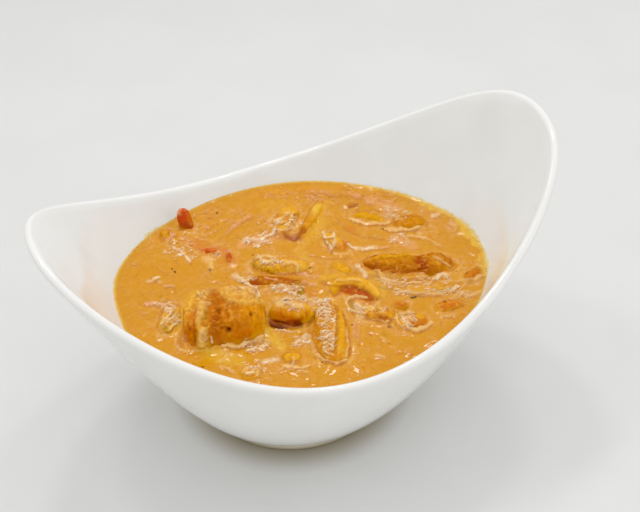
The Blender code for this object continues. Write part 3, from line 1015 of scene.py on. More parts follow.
    def swells(self) -> Array:
        """Return how high the sauce climbs the pieces, and how deep it dips below them."""
        climb = np.minimum(self.rise * self.full_rise, self.swell)
        climb *= self.swell_share + self.swell_waver * self.ragged
        outside = climb * np.exp(-self.distance / self.swell_reach)
        inside = climb * (1 - smooth_step(self.distance, 0.0, self.inner_reach))
        inside -= self.tuck * smooth_step(self.distance, *self.tuck_range)
        return np.where(self.below, inside, outside + self.rill_height * self.rill)

    def relief(self) -> Array:
        """Return how far each vertex is raised."""
        thread = crests(self.thread.values(self.bent), self.thread_sharpness) ** self.thread_power
        height = self.ripple_height * (self.ripple.values(self.points)
                                       + self.fine_share * self.fine_ripple.values(self.points))
        height += self.grain_height * self.grain.values(self.points)
        height += self.thread_height * (thread * np.maximum(self.busy, self.faint)
                                        + self.fine_share * self.fine * self.busy)
        height *= self.inland
        height += (self.meniscus * np.exp(-self.rim_gap / self.meniscus_reach)
                   * (1 + self.meniscus_waver * self.ragged))
        return height + self.swells()

    def tints(self) -> list[tuple[Tint, Array]]:
        """Return each tint and how much of it shows at each vertex, the lowest first."""
        crest = crests(self.thread.values(self.bent), self.crest_sharpness)
        side = self.bent + np.array(self.flank_side) * self.flank_shift
        flank = crests(self.thread.values(side), self.flank_sharpness)
        chips = self.chip_pattern.lumps(self.points)
        foot = self.foot_show * self.rise
        # Painted shade on the threads' flanks.
        return [(OCHRE, self.flank_shade_show * flank * self.inland
                 * np.maximum(self.busy, self.flank_faint * self.faint)),
                # Painted highlights on the threads' crests and on the rills round pieces.
                (CREAM, self.crest_highlight_show * crest * self.inland * chips
                 * np.maximum(self.busy, self.crest_faint * self.faint) + self.rill_highlight_show * self.rill),
                # Painted highlights on the fine threads.
                (PINK, self.fine_highlight_show * self.fine * self.busy * self.inland),
                (OIL, self.oil_show * self.oil_pattern.hollows(self.points) * self.busy),
                (GOLD, foot * np.exp(-self.distance / self.glow_reach) * ~self.below
                 * (self.glow_share + self.glow_waver * self.ragged)),
                # Painted shade at the foot of each piece: a thin orange line, then brown.
                (ORANGE, foot * bell(self.distance, self.foot_shade_line_reach)),
                (BROWN, foot * bell(self.distance, self.shade_reach) * (1 - self.gate)),
                (EDGE, self.edge_show * bell(self.rim_gap, self.edge_reach)),
                *self.bands()]

    def bands(self) -> list[tuple[Tint, Array]]:
        """Return the tints of the film by the glaze."""
        angles = np.arctan2(self.points[:, 1], self.points[:, 0] - FORM.foot_x)
        band = np.zeros(len(self.points))
        for middle, spread, width in self.rim_bands:
            band = np.maximum(band, width * bell(swing_from(angles, middle), spread))
        wide = band > self.band_least
        rough, fine = self.band_waver
        band *= 1 + rough * self.ragged + fine * self.band_pattern.values(self.points)
        soft = self.band_soft
        return [(tint, share * smooth_step(reach * band - self.rim_gap, -soft, soft) * wide)
                for tint, share, reach in self.band_tints]

    def froth(self) -> Array:
        """Return how much fine froth and painted glints show at each vertex."""
        return self.froth_show * self.froth_pattern.lumps(self.points) * self.busy * self.inland


SAUCE_FINISH = WetFood("curry_sauce_finish", specular=0.02, coat=0.6, cream=0.12, oil=0.34, specks=0.5,
                       grain=0.7, bump=0.45)


@dataclass
class CurrySauce:
    """The sauce, one solid up to its level.

    Attributes:
        level: height of its edge.
        grid: squares along each side of its top.
        sunk: how far its skin runs into the glaze.
        wall_rings: rings of its hidden wall.
        samples: points of its outline.
        near: how far from a piece the top is changed.
    """

    level: float = 61.8 * MM
    grid: int = 304
    sunk: float = 0.5 * MM
    wall_rings: int = 5
    samples: int = 360
    near: float = 14 * MM

    def edge(self) -> tuple[Array, Array]:
        """Return the angles and the places at which the sauce meets the glaze, just inside it."""
        angles = np.arange(self.samples) * TAU / self.samples
        places = [FORM.inner(angle, FORM.share_at(angle, self.level, -self.sunk), -self.sunk)
                  for angle in angles]
        return angles, np.array(places)

    def mesh(self) -> tuple[bmesh.types.BMesh, Array]:
        """Build the top as an even grid bent into the bowl's outline, and the walls and floor below it.

        Returns:
            The closed skin, and each top vertex's distance from the glaze.
        """
        bm = bmesh.new()
        turn = bm.verts.layers.float.new("turn")
        bmesh.ops.create_grid(bm, x_segments=self.grid, y_segments=self.grid, size=1.0)
        u, v = np.array([vert.co for vert in bm.verts])[:, :2].T
        wide = np.abs(u) > np.abs(v)
        share = np.where(wide, np.abs(u), np.abs(v))
        safe = np.where(share > 0, share, 1.0)
        eighth = math.pi / 4
        swing = np.where(wide, np.where(u > 0, eighth * v / safe, 4 * eighth - eighth * v / safe),
                         np.where(v > 0, 2 * eighth - eighth * u / safe,
                                  -2 * eighth + eighth * u / safe)) % TAU
        angles, places = self.edge()
        outline = np.stack([np.interp(swing, angles, places[:, axis], period=TAU) for axis in (0, 1)], 1)
        middle = np.array([FORM.foot_x, 0.0])
        plan = middle + (outline - middle) * share[:, None]
        rim_gap = np.linalg.norm(outline - plan, axis=1) - self.sunk
        for vert, (x, y), angle in zip(bm.verts, plan, swing):
            vert.co = (x, y, self.level)
            vert[turn] = angle
        rim = [edge for edge in bm.edges if edge.is_boundary]
        for ring in range(self.wall_rings - 1, -1, -1):
            grown = bmesh.ops.extrude_edge_only(bm, edges=rim)["geom"]
            rim = [item for item in grown if isinstance(item, bmesh.types.BMEdge)]
            for vert in (item for item in grown if isinstance(item, bmesh.types.BMVert)):
                angle = vert[turn]
                top = FORM.share_at(angle, self.level, -self.sunk)
                vert.co = FORM.inner(angle, top * ring / self.wall_rings, -self.sunk)
        bottom = bmesh.ops.contextual_create(bm, geom=rim)["faces"]
        bmesh.ops.poke(bm, faces=bottom)
        bmesh.ops.recalc_face_normals(bm, faces=bm.faces)
        return bm, rim_gap

    def round_pieces(self, points: Array) -> tuple[Array, Array, Array]:
        """Measure how far the top is from the pieces.

        Args:
            points: the top's vertices, at the sauce's level.

        Returns:
            The distance to the nearest piece, how far that piece rises as a share of a full swell, and
            whether the point lies below a piece.
        """
        nearest = np.full(len(points), self.near)
        rise = np.zeros(len(points))
        below = np.zeros(len(points), bool)
        for name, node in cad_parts.items():
            if name in ("bowl", "sauce"):
                continue
            low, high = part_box(name)
            close = np.flatnonzero((points[:, 0] > low.x - self.near) & (points[:, 0] < high.x + self.near)
                                   & (points[:, 1] > low.y - self.near) & (points[:, 1] < high.y + self.near))
            tree = BVHTree.FromPolygons([vert.co for vert in node.data.vertices],
                                        [tuple(face.vertices) for face in node.data.polygons])
            for index in close:
                spot = Vector(points[index])
                _, _, _, distance = tree.find_nearest(spot, self.near)
                if distance is None:
                    continue
                _, above, _, _ = tree.ray_cast(spot, Vector((0, 0, 1)))
                inside = above is not None and above.z > 0
                if inside or distance < nearest[index]:
                    nearest[index] = distance
                    rise[index] = min((high.z - self.level) / SauceTop.full_rise, 1.0)
                    below[index] = inside
        return nearest, rise, below

    def build(self, marks: tuple) -> Piece:
        """Build and dress the sauce.

        Args:
            marks: marks that raise and tint its surface.

        Returns:
            The finished sauce.
        """
        bm, rim_gap = self.mesh()
        sauce = add_piece("curry_sauce", bm, SAUCE_FINISH.material())
        points = rows_of(sauce.data.vertices, "co")
        count = len(rim_gap)
        top = SauceTop(points[:count], rim_gap, *self.round_pieces(points[:count]))
        paint = Paint(points, SAUCE)
        below = np.zeros(len(points) - count)
        for tint, share in top.tints():
            paint.blend(tint, np.concatenate([share, below]))
        paint.froth[:count] = top.froth()
        paint.lay(marks, np.concatenate([np.ones(count), below]))
        points[:count, 2] += top.relief() + paint.lift[:count]
        move_points(sauce.data, points)
        paint.store(sauce.data)
        settle(sauce, Slot.SAUCE, "sauce")
        return sauce


@dataclass
class Morsel:
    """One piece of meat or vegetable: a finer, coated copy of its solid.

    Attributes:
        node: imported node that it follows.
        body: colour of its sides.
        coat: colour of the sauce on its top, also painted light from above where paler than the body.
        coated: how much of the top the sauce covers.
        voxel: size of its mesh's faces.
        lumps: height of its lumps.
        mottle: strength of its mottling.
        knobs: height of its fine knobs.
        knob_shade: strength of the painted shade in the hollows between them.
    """

    node: str
    slot: Slot
    finish: WetFood
    body: Tint
    coat: Tint = PALE
    coated: float = 0.8
    voxel: float = 0.35 * MM
    lumps: float = 0.50 * MM
    lump_size: float = 3.2 * MM
    mottle: float = 0.40
    knobs: float = 0.06 * MM
    knob_size: float = 1.5 * MM
    knob_shade: float = 0.12
    marks: tuple = ()
    weld: float = 0.005 * MM
    soften: tuple = (0.5, 5)
    seed_step: float = 0.37
    waver: float = 0.7
    mottle_size: float = 2.1 * MM
    mottle_range: tuple = (0.10, 0.40)
    ragged_sizes: tuple = (4.5 * MM, 1.7 * MM)
    ragged_fine: float = 0.6
    top_waver: float = 0.55
    top_range: tuple = (0.55, 0.72)
    top_lift: float = 0.18 * MM
    low_start: float = 0.9 * MM
    low_share: float = 0.35
    low_waver: float = 0.30
    low_show: float = 0.85
    low_lift: float = 0.15 * MM
    seen_range: tuple = (0.0, 0.3)
    knob_range: tuple = (0.12, 0.40)
    knob_froth_and_light: float = 0.30
    knob_low: float = 0.6
    fine_lumps: float = 0.5
    fine_ratio: float = 2.2
    lump_seed: int = 2
    ragged_seed: int = 9
    mottle_seed: int = 21
    knob_seed: int = 33

    def refined(self) -> Piece:
        """Return a fine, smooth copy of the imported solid."""
        name = self.node + "_coated"
        bm = bmesh.new()
        bm.from_mesh(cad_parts[self.node].data)
        bmesh.ops.remove_doubles(bm, verts=bm.verts, dist=self.weld)
        piece = add_piece(name, bm, None)
        rounder = piece.modifiers.new("rounder", "SUBSURF")
        rounder.levels = 2
        rounder.render_levels = 2
        even = piece.modifiers.new("even", "REMESH")
        even.mode = "VOXEL"
        even.voxel_size = self.voxel
        soften = piece.modifiers.new("soften", "SMOOTH")
        soften.factor, soften.iterations = self.soften
        seen = piece.evaluated_get(bpy.context.evaluated_depsgraph_get())
        mesh = bpy.data.meshes.new_from_object(seen)
        plain = piece.data
        piece.modifiers.clear()
        piece.data = mesh
        bpy.data.meshes.remove(plain)
        mesh.name = name
        mesh.shade_smooth()
        return piece

    def build(self, level: float) -> Piece:
        """Build and dress the piece.

        Args:
            level: height of the sauce.

        Returns:
            The finished piece.
        """
        piece = self.refined()
        mesh = piece.data
        points = rows_of(mesh.vertices, "co")
        normals = rows_of(mesh.vertex_normals, "vector")
        paint = Paint(points, self.body, waver=self.waver)
        seed = sum(ord(letter) for letter in self.node) * self.seed_step
        rough, fine = self.ragged_sizes
        ragged = noise_at(points, rough, seed)
        ragged += self.ragged_fine * noise_at(points, fine, seed + self.ragged_seed)
        mottling = Pattern(self.mottle_size, seed + self.mottle_seed, *self.mottle_range)
        paint.blend(BROWN, self.mottle * mottling.lumps(points))
        paint.blend(GOLD, self.mottle * mottling.hollows(points))
        # Upward faces take the coat: sauce lying on top, and painted light from above where the coat is
        # paler.
        upward = smooth_step(normals[:, 2] + self.top_waver * ragged, *self.top_range)
        paint.blend(self.coat, self.coated * upward)
        paint.lift += self.top_lift * upward
        tall = points[:, 2].max() - level
        low = 1 - smooth_step(points[:, 2] - level + self.low_waver * tall * ragged, self.low_start,
                              self.low_start + self.low_share * tall)
        paint.blend(SAUCE, self.low_show * low)
        paint.lift += self.low_lift * low
        paint.lay(self.marks + SURFACE_MARKS, smooth_step(VIEW.facing(points, normals), *self.seen_range))
        knobs = Pattern(self.knob_size, seed + self.knob_seed, *self.knob_range)
        # Painted shade in the hollows between knobs, and pale froth with painted light on knob tops facing
        # up.
        paint.blend(BROWN, self.knob_shade * knobs.hollows(points) * (1 - self.knob_low * low))
        paint.blend(FROTH, self.knob_froth_and_light * knobs.lumps(points) * upward)
        paint.lift += self.knobs * knobs.values(points)
        lumps = noise_at(points, self.lump_size, seed + self.lump_seed)
        lumps += self.fine_lumps * noise_at(points, self.lump_size / self.fine_ratio, seed)
        points += normals * (self.lumps * lumps + paint.lift)[:, None]
        move_points(mesh, points)
        paint.store(mesh)
        mesh.materials.append(self.finish.material())
        settle(piece, self.slot, self.node)
        return piece


MEAT = WetFood("lamb_finish", specular=0.0, coat=0.12, cream=0.02, oil=0.2, specks=0.2, grain=0.8, bump=0.45,
               fibre=0.16, fibre_turn=70.0)
ONION_SKIN = WetFood("onion_finish", specular=0.0, coat=0.28, coat_roughness=0.08, cream=0.08, oil=0.25,
                     specks=0.08, grain=0.5, bump=0.3)
PEPPER_SKIN = WetFood("pepper_finish", specular=0.0, coat=0.28, coat_roughness=0.07, cream=0.0, oil=0.12,
                      specks=0.05, grain=0.2, bump=0.15)
TOMATO_SKIN = WetFood("tomato_finish", specular=0.0, coat=0.28, coat_roughness=0.08, cream=0.02, oil=0.15,
                      specks=0.1, grain=0.3, bump=0.2)
LAMB = (Slot.LAMB, MEAT)
ONION = (Slot.ONION, ONION_SKIN)
YELLOW_PEPPER = (Slot.YELLOW_PEPPER, PEPPER_SKIN)
RED_PEPPER = (Slot.RED_PEPPER, PEPPER_SKIN)
TOMATO = (Slot.TOMATO, TOMATO_SKIN)
GREEN_PEPPER = (Slot.GREEN_PEPPER, PEPPER_SKIN)


@dataclass(frozen=True)
class Cluster:
    """A cluster of short wavy marks, painted glints unless another tint is given.

    Attributes:
        middle: pixel of its middle.
        spread: half its width and height in pixels.
        count: how many marks.
        turn: their direction in degrees, 0 along the rows.
        length: length of a typical mark in pixels.
        tint: their colour.
        width: half width in pixels.
        show: how much of the tint shows.
        lift: how far they are raised, in millimetres.
        froth: how much fine froth and painted glints show round glint marks.
    """

    middle: tuple
    spread: tuple
    count: int
    turn: float = 0
    length: float = 5
    tint: Tint = GLINT
    width: float = 0.9
    show: float = 0.72
    lift: float = 0.4
    froth: float = 0.7
    LEAN = 22
    HALVES = (0.3, 0.8)
    BOW = 0.35
    WIDTHS = (0.6, 1.2)
    SHOWS = (0.4, 1.1)
    LIFTS = (0.5, 1.2)
    BROKEN = 0.5

    def marks(self, name: str) -> list[Mark]:
        """Return its marks, drawn from a seed that its name gives."""
        draw = np.random.default_rng(sum(ord(letter) for letter in name))
        froth = self.froth if self.tint is GLINT else 0.0
        found = []
        for _ in range(self.count):
            reach, swing = math.sqrt(draw.random()), TAU * draw.random()
            x = self.middle[0] + self.spread[0] * reach * math.cos(swing)
            y = self.middle[1] + self.spread[1] * reach * math.sin(swing)
            lean = math.radians(self.turn + draw.normal(0, self.LEAN))
            half = self.length * draw.uniform(*self.HALVES)
            bow = draw.normal(0, self.BOW) * half
            step = (math.cos(lean) * half, math.sin(lean) * half)
            path = (x - step[0], y - step[1], x - step[1] * bow / half, y + step[0] * bow / half,
                    x + step[0], y + step[1])
            found.append(Mark(name, self.tint, path, self.width * draw.uniform(*self.WIDTHS),
                              self.show * draw.uniform(*self.SHOWS), self.lift * draw.uniform(*self.LIFTS),
                              self.BROKEN, froth))
        return found


def marks(**rows: object) -> tuple[Mark, ...]:
    """Return the marks of a table.

    Args:
        rows: by name, a cluster, or a mark's tint, path, width, show, lift and broken.

    Returns:
        The marks, the lowest first.
    """
    found = []
    for name, row in rows.items():
        found += row.marks(name) if isinstance(row, Cluster) else [Mark(name, *row)]
    return tuple(found)


# GLINT and PINK marks and glint clusters are painted highlights; CREAM lines are cream and painted highlight.
# Shade marks, dark marks in creases, holes and grooves, and the sunk ochre streaks are painted shade.
SURFACE_MARKS = marks(
    glow_rear=(YELLOW, (305, 240, 316, 232, 322, 222), 6, .35),
    glow_rear_left=(GOLD, (265, 206, 280, 204, 292, 206), 6, .35),
    glow_middle=(YELLOW, (300, 252, 306, 262, 304, 270), 6, .3),
    glow_tail=(GOLD, (318, 279.5, 332, 278, 345, 276.5), 2.4, .9, .5),
    shade_tail=(OCHRE, (322, 284, 334, 286, 343, 288), 1.8, .5, -.3),
    glow_petal=(YELLOW, (372, 277, 383, 284, 383, 294), 3.5, .5),
    glow_right=(GOLD, (410, 288, 430, 289, 446, 287), 3, .5),
    glow_chunk=(PALE, (176, 338, 182, 322, 186, 306, 194, 296), 5.5, .6),
    glow_far=(GOLD, (262, 193, 300, 188, 345, 187, 380, 192), 3, .35),
    shade_far=(OCHRE, (300, 193, 330, 195, 348, 197), 1.8, .35, -.2),
    shade_rear=(OCHRE, (262, 232, 276, 238, 296, 241), 2.2, .45, -.3),
    strip_glow=(GOLD, (316, 226, 320, 216, 326, 205), 3.6, .7, .3),
    strip_foot=(BROWN, (286, 236, 294, 239, 302, 239), 3.4, .85, -.2),
    strip_foot_red=(RUST, (288, 238, 298, 240), 1.8, .6, -.2),
    strip_foot_gold=(GOLD, (305, 238, 312, 234, 317, 230), 3.6, .7),
    shade_under_back=(OCHRE, (262, 274, 285, 276, 312, 274), 1.6, .6, -.4),
    shade_under_right=(OCHRE, (366, 277, 385, 279, 405, 280, 430, 279), 1.8, .55, -.4),
    shade_under_flow=(OLIVE, (380, 287, 400, 290, 425, 297), 1.3, .5, -.3),
    shade_strip_left=(OCHRE, (309, 312, 309, 330, 313, 350), 2.4, .5, -.4),
    far_band=(OIL, (255, 195, 300, 189, 345, 191, 380, 196), 4.5, .5),
    oil_below_chunk=(YELLOW, (206, 352, 222, 358, 241, 361), 6.5, .5, -.3),
    oil_by_chunk=(YELLOW, (268, 333, 276, 340, 282, 346), 5, .65, -.3),
    oil_left_of_chunk=(OIL, (172, 340, 182, 350, 198, 355), 4, .5),
    chunk_foot=(AMBER, (186, 330, 181, 339, 180, 346), 4.2, .7, .3),
    chunk_foot_line=(CREAM, (177, 336, 175, 344, 180, 350, 192, 352), 1.1, .6, .35, .3),
    oil_rear=(GOLD, (356, 215, 368, 218, 380, 219), 3, .85, -.25),
    oil_middle=(GOLD, (333, 267, 345, 270, 349, 273), 4, .6),
    oil_front=(OIL, (340, 372, 365, 368), 5, .4),
    red_glow=(ORANGE, (192, 243, 206, 247, 222, 252), 5, .55),
    red_streak_left=(RED, (199, 250, 204, 251, 208, 252), 1.8, .8),
    red_streak_down=(RED, (226, 251, 229, 256, 231, 262), 1.8, .6),
    red_glow_low=(ORANGE, (222, 262, 235, 262), 4, .3),
    orange_spot=(ORANGE, (340, 247, 345, 244), 4, .75, -.2),
    orange_spot_low=(ORANGE, (349, 229, 353, 230), 3, .5),
    hole_rear=(BROWN, (350, 205, 356, 204), 2.4, .9, -.6),
    rear_flow_a=(OCHRE, (352, 212, 372, 209, 392, 212, 408, 218), 1.3, .4, -.3),
    rear_flow_b=(OCHRE, (340, 222, 347, 231, 362, 237, 384, 240), 1.4, .4, -.3),
    rear_flow_c=(CREAM, (408, 236, 425, 238, 440, 246), 1.2, .5, .3, .3),
    middle_flow=(OCHRE, (310, 256, 330, 259, 350, 258), 1.4, .4, -.3),
    rear_left_flow=(PINK, (228, 232, 236, 224, 250, 216), 2, .4, .3),
    pink_rear=(PINK, (369, 199, 382, 203, 396, 209), 4.2, .4, .3),
    pink_rear_tail=(PINK, (384, 211, 390, 216), 2.2, .5, .2, .5),
    smear=(PINK, (393, 238, 404, 242, 414, 247), 4.6, .35, .2),
    pink_far=(PINK, (350, 192, 360, 196), 2.2, .45),
    outline_rear_oil=(CREAM, (350, 219, 362, 223, 376, 224, 389, 224), 1.1, .8, .35),
    line_rear_piece=(CREAM, (385, 229.5, 400, 231, 419, 230), 1.1, .85, .35),
    end_rear_piece=(GLINT, (432, 217, 438, 216), 1.8, .6, .3),
    dot_rear=(GLINT, (346, 207), 2, .85, .4),
    dot_rear_small=(GLINT, (357, 207), 1.1, .7, .3),
    long_glint=(GLINT, (348, 246, 356, 249, 366, 249, 377, 248), 1.6, .85, .5, .6),
    short_glint=(PINK, (378, 249, 388, 247), 1.3, .6, .3, .4),
    v_left=(GLINT, (323, 233, 327, 241, 331, 251), 1.3, .9, .5, .3),
    v_right=(GLINT, (331, 251, 335, 243, 334, 235), 1.5, .9, .5, .4),
    v_shade=(BROWN, (327, 246, 328, 250), 1.6, .5, -.3),
    v_bar=(GLINT, (324, 238, 334, 237), 1, .7, .3),
    pink_ridge_a=(PINK, (241, 245, 252, 241, 262, 240, 276, 236), 4.4, .4, .3),
    pink_ridge_b=(GLINT, (243, 243, 252, 240, 257, 241), 1.3, .8, .5, .4),
    pink_ridge_c=(GLINT, (258, 241, 268, 237, 276, 233), 1.3, .8, .5, .4),
    pink_flow_a=(PINK, (276, 274, 292, 273, 318, 278), 1.6, .5, .25, .3),
    pink_flow_b=(PINK, (300, 285, 316, 285), 1.4, .5, .3),
    chunk_back_a=(GLINT, (234, 275, 240, 279), 2.2, .85, .5, .5),
    chunk_back_b=(GLINT, (240, 278, 248, 285, 256, 292), 1.5, .9, .5, .2),
    chunk_back_c=(GLINT, (255, 291, 258, 297), 1.6, .9, .5, .3),
    under_chunk_a=(CREAM, (222, 348.5, 240, 347.5, 252, 342.5, 264, 337), 1, .9, .5),
    under_chunk_b=(GLINT, (247, 351, 256, 350, 266, 345), 1.4, .8, .5, .5),
    under_chunk_c=(CREAM, (252, 344, 262, 340, 270, 341), 1.3, .6, .4, .4),
    left_streak=(PINK, (144, 304, 156, 303, 165, 305), 1.5, .7, .3),
    left_lump_a=(CREAM, (149, 281, 156, 278, 160, 282), 1.9, .75, .45, .3),
    left_lump_b=(GLINT, (154, 279, 159, 277), 1.2, .8, .4),
    left_lump_c=(PINK, (164, 286, 174, 286), 1.1, .7, .35),
    left_rear_a=(PINK, (168, 242, 171, 237, 176, 235), 1.3, .7, .35),
    left_rear_b=(GLINT, (173, 248, 179, 250, 184, 254), 1.5, .8, .45, .3),
    left_rear_c=(GLINT, (186, 257, 190, 262), 1.5, .85, .45),
    left_rear_d=(CREAM, (204, 259, 210, 262, 211, 267), 2.8, .6, .5, .4),
    left_rear_e=(GLINT, (213, 254, 220, 254), 1.2, .75, .35),
    # Painted shade in the crease under the centre piece.
    crease_a=(RUST, (271, 323, 283, 326, 301, 324), 3.2, .9, -.6),
    crease_b=(PIT, (271, 325, 283, 327), 2.2, .75, -.4),
    crease_c=(PIT, (295, 325, 301, 327), 1.8, .6, -.3),
    crease_dots=(GLINT, (276, 329, 282, 330, 289, 331), .9, .9, .5, .6),
    strip_left_glint=(GLINT, (295, 344, 301, 340, 308, 337), 2.2, .75, .5, .4),
    strip_left_line=(CREAM, (306, 334, 312, 344, 315, 356), 1.1, .5, .3),
    strip_head=(GLINT, (311, 305, 318, 301, 328, 301), 2, .75, .4, .5),
    strip_end=(CREAM, (318, 357, 325, 363, 336, 365, 347, 361), 1.2, .9, .45),
    strip_right_rim=(CREAM, (346, 330, 348, 345, 346, 358), 1.1, .6, .3),
    front_line_a=(GLINT, (264, 362, 270, 360, 277, 360), 2.6, .8, .5, .3),
    front_line_b=(CREAM, (284, 367, 298, 369, 309, 366), 1.1, .75, .35),
    front_line_c=(CREAM, (298, 372, 308, 372), .9, .5, .25),
    front_flat_a=(CREAM, (243, 372, 250, 368, 259, 370, 257, 376), 1.6, .65, .4, .3),
    front_flat_b=(GLINT, (247, 374, 253, 373), 1.4, .8, .3),
    front_flat_c=(CREAM, (222, 366, 232, 370), 1.7, .6, .35, .4),
    front_dashes=(CREAM, (376, 356, 384, 357), 1.2, .6, .3),
    front_dots=(CREAM, (382, 338, 386, 341), 1.4, .6, .35, .3),
    front_dot_dark=(OLIVE, (383, 334, 386, 336), 1.1, .6),
    loop_shade=(OLIVE, (351, 303, 352, 307), 3, .55, -.3),
    loop_left=(CREAM, (367, 298, 356, 297, 347, 300, 347, 306, 352, 312, 362, 317, 367, 319), 1.2, .9, .5),
    loop_fill=(GLINT, (357, 304, 360, 309, 361, 313), 3.2, .65, .4, .5),
    lumps_line_a=(CREAM, (365, 319, 374, 321, 384, 322, 392, 320, 396, 318), 1.1, .9, .45),
    lumps_line_b=(CREAM, (396, 317, 401, 314, 408, 312, 415, 313), 1, .8, .4),
    lumps_fill=(GLINT, (404, 319, 407, 323, 409, 326), 3, .65, .4, .45),
    lumps_line_c=(CREAM, (396, 319, 400, 325, 408, 331, 418, 331.5, 428, 327, 432, 323), 1.2, .9, .5),
    lumps_dot=(BROWN, (389, 325, 390, 328), 1.5, .6, -.2),
    lumps_dot_low=(BROWN, (369, 334, 372, 334.5), 1.2, .5, -.2),
    tomato_line=(CREAM, (440, 318, 455, 317), 1, .5, .3),
    pink_streak_a=(PINK, (354, 323, 354, 336), 1.8, .55, .25, .3),
    pink_streak_b=(PINK, (359, 325, 358, 341), 1.5, .5, .25, .3),
    flow_a=(CREAM, (376, 279, 390, 283, 405, 285), .9, .7, .35),
    flow_b=(CREAM, (395, 288, 415, 294, 440, 295), .9, .7, .35),
    flow_c=(CREAM, (402, 291, 420, 293, 433, 291), .8, .6, .3),
    flow_olive=(OLIVE, (436, 290, 446, 291, 455, 290), 1.5, .5),
    under_right_a=(CREAM, (375, 270, 381, 278, 400, 282, 420, 283), 1.1, .8, .45),
    under_right_b=(GLINT, (433, 280, 441, 276, 448, 278), 1.5, .75, .45, .4),
    under_right_c=(CREAM, (450, 281, 466, 282, 478, 280, 486, 275), 1, .5, .3, .4),
    right_clump=(CREAM, (455, 296, 462, 293, 472, 295, 480, 292), 2.4, .55, .4, .5),
    right_spot=(PIT, (443, 301, 446, 303), 1, .6),
    ridge_left_of_right=(GLINT, (356, 266, 361, 270, 366, 276), 1.6, .8, .5, .3),
    # Painted olive shade in the hollows of the left onion.
    left_green=(OLIVE, (164, 327, 166, 333), 3, .75, -.5),
    left_green_b=(OLIVE, (172, 316, 174, 322), 2.4, .45, -.3),
    left_white_a=(GLINT, (168, 311, 173, 309), 1.8, .7, .4, .3),
    left_white_b=(CREAM, (170, 322, 176, 318, 180, 321), 1.6, .7, .4, .3),
    left_white_c=(CREAM, (164, 320, 168, 323), 1.6, .6, .35),
    middle_olive=(OLIVE, (298, 284, 301, 291, 300, 298), 3.4, .45, -.2),
    middle_hole=(BROWN, (292, 288, 295, 290), 2, .7, -.5),
    middle_line=(GLINT, (271, 287, 283, 288, 295, 295), 1.3, .85, .45, .2),
    middle_glint=(GLINT, (290, 293, 295, 295), 1.2, .8, .4),
    middle_amber=(AMBER, (308, 292, 314, 294), 3.6, .6, .2),
    middle_amber_line=(CREAM, (307, 300, 318, 298), .9, .6, .3),
    centre_merge=(CREAM, (274, 299, 288, 297, 302, 300, 314, 303), 2.4, .6, .5, .5),
    centre_gold=(GOLD, (304, 322, 311, 317, 315, 309), 3, .7, .3),
    centre_specks=Cluster((296, 300), (18, 4), 16, 5),
    pink_ridge_specks=Cluster((259, 240), (19, 6), 20, -18),
    left_flow_specks=Cluster((168, 304), (12, 5), 12, 5, show=.65),
    left_piece_specks=Cluster((171, 318), (8, 9), 14, -40, 4),
    lamb_back_specks=Cluster((270, 262), (14, 5), 10, 0, 4),
    chunk_back_specks=Cluster((247, 285), (11, 9), 10, 35, 4),
    under_chunk_specks=Cluster((254, 347), (15, 5), 14, -15, 4),
    strip_head_specks=Cluster((322, 307), (10, 8), 16, 15, 4),
    middle_specks=Cluster((285, 290), (14, 5), 12, 5, 4),
    loop_specks=Cluster((359, 308), (8, 8), 14, 40, 4),
    lumps_specks=Cluster((408, 321), (9, 7), 14, 20, 4),
    right_specks=Cluster((462, 291), (12, 6), 10, -10, 4, show=.6),
    rear_specks=Cluster((284, 222), (13, 10), 14, -20, show=.7),
    smear_specks=Cluster((402, 241), (10, 5), 8, 20, show=.5),
    rear_right_specks=Cluster((395, 215), (16, 5), 9, 20, show=.5),
    left_rear_specks=Cluster((188, 250), (22, 12), 14, 35, 4, show=.6),
    strip_left_specks=Cluster((300, 341), (10, 6), 10, -15, 4, show=.7),
    front_specks=Cluster((275, 365), (35, 8), 12, 0, 4, show=.55),
    under_right_specks=Cluster((415, 282), (38, 4), 12, 5, 4, show=.6),
    far_streaks=Cluster((330, 196), (78, 7), 34, 3, 9, PINK, .9, .5, .35),
    far_dark_streaks=Cluster((330, 196), (78, 8), 34, 3, 9, OCHRE, 1.1, .35, -.3),
    far_left_streaks=Cluster((225, 210), (30, 10), 14, -15, 6, PINK, .9, .35, .25),
    left_streaks=Cluster((148, 290), (26, 30), 26, -8, 8, OCHRE, 1, .3, -.25),
    left_rear_flow=Cluster((215, 225), (50, 18), 26, -22, 9, OCHRE, 1, .28, -.3),
    left_rear_foam=Cluster((215, 226), (50, 18), 22, -22, 8, PINK, 1.1, .4, .3),
    front_streaks=Cluster((330, 372), (110, 10), 30, -3, 7, OIL, .9, .4, -.2),
    right_front_streaks=Cluster((400, 345), (50, 16), 24, -20, 7, OIL, .9, .4, -.2),
    between_streaks=Cluster((330, 262), (70, 8), 26, 3, 8, OIL, 1, .45, -.3),
    rear_right_streaks=Cluster((420, 232), (36, 12), 18, 20, 7, OIL, 1, .4, -.2),
    chunk_back_streaks=Cluster((222, 275), (26, 8), 12, 25, 6, PINK, .9, .35, .25),
    middle_right_glints=Cluster((430, 290), (40, 5), 14, 5, 6, show=.5),
    sauce_dimples=Cluster((230, 222), (45, 14), 16, -10, 5, PINK, .9, .3, .25),
    front_dimples=Cluster((400, 348), (40, 16), 14, -5, 5, PINK, .9, .3, .2),
)

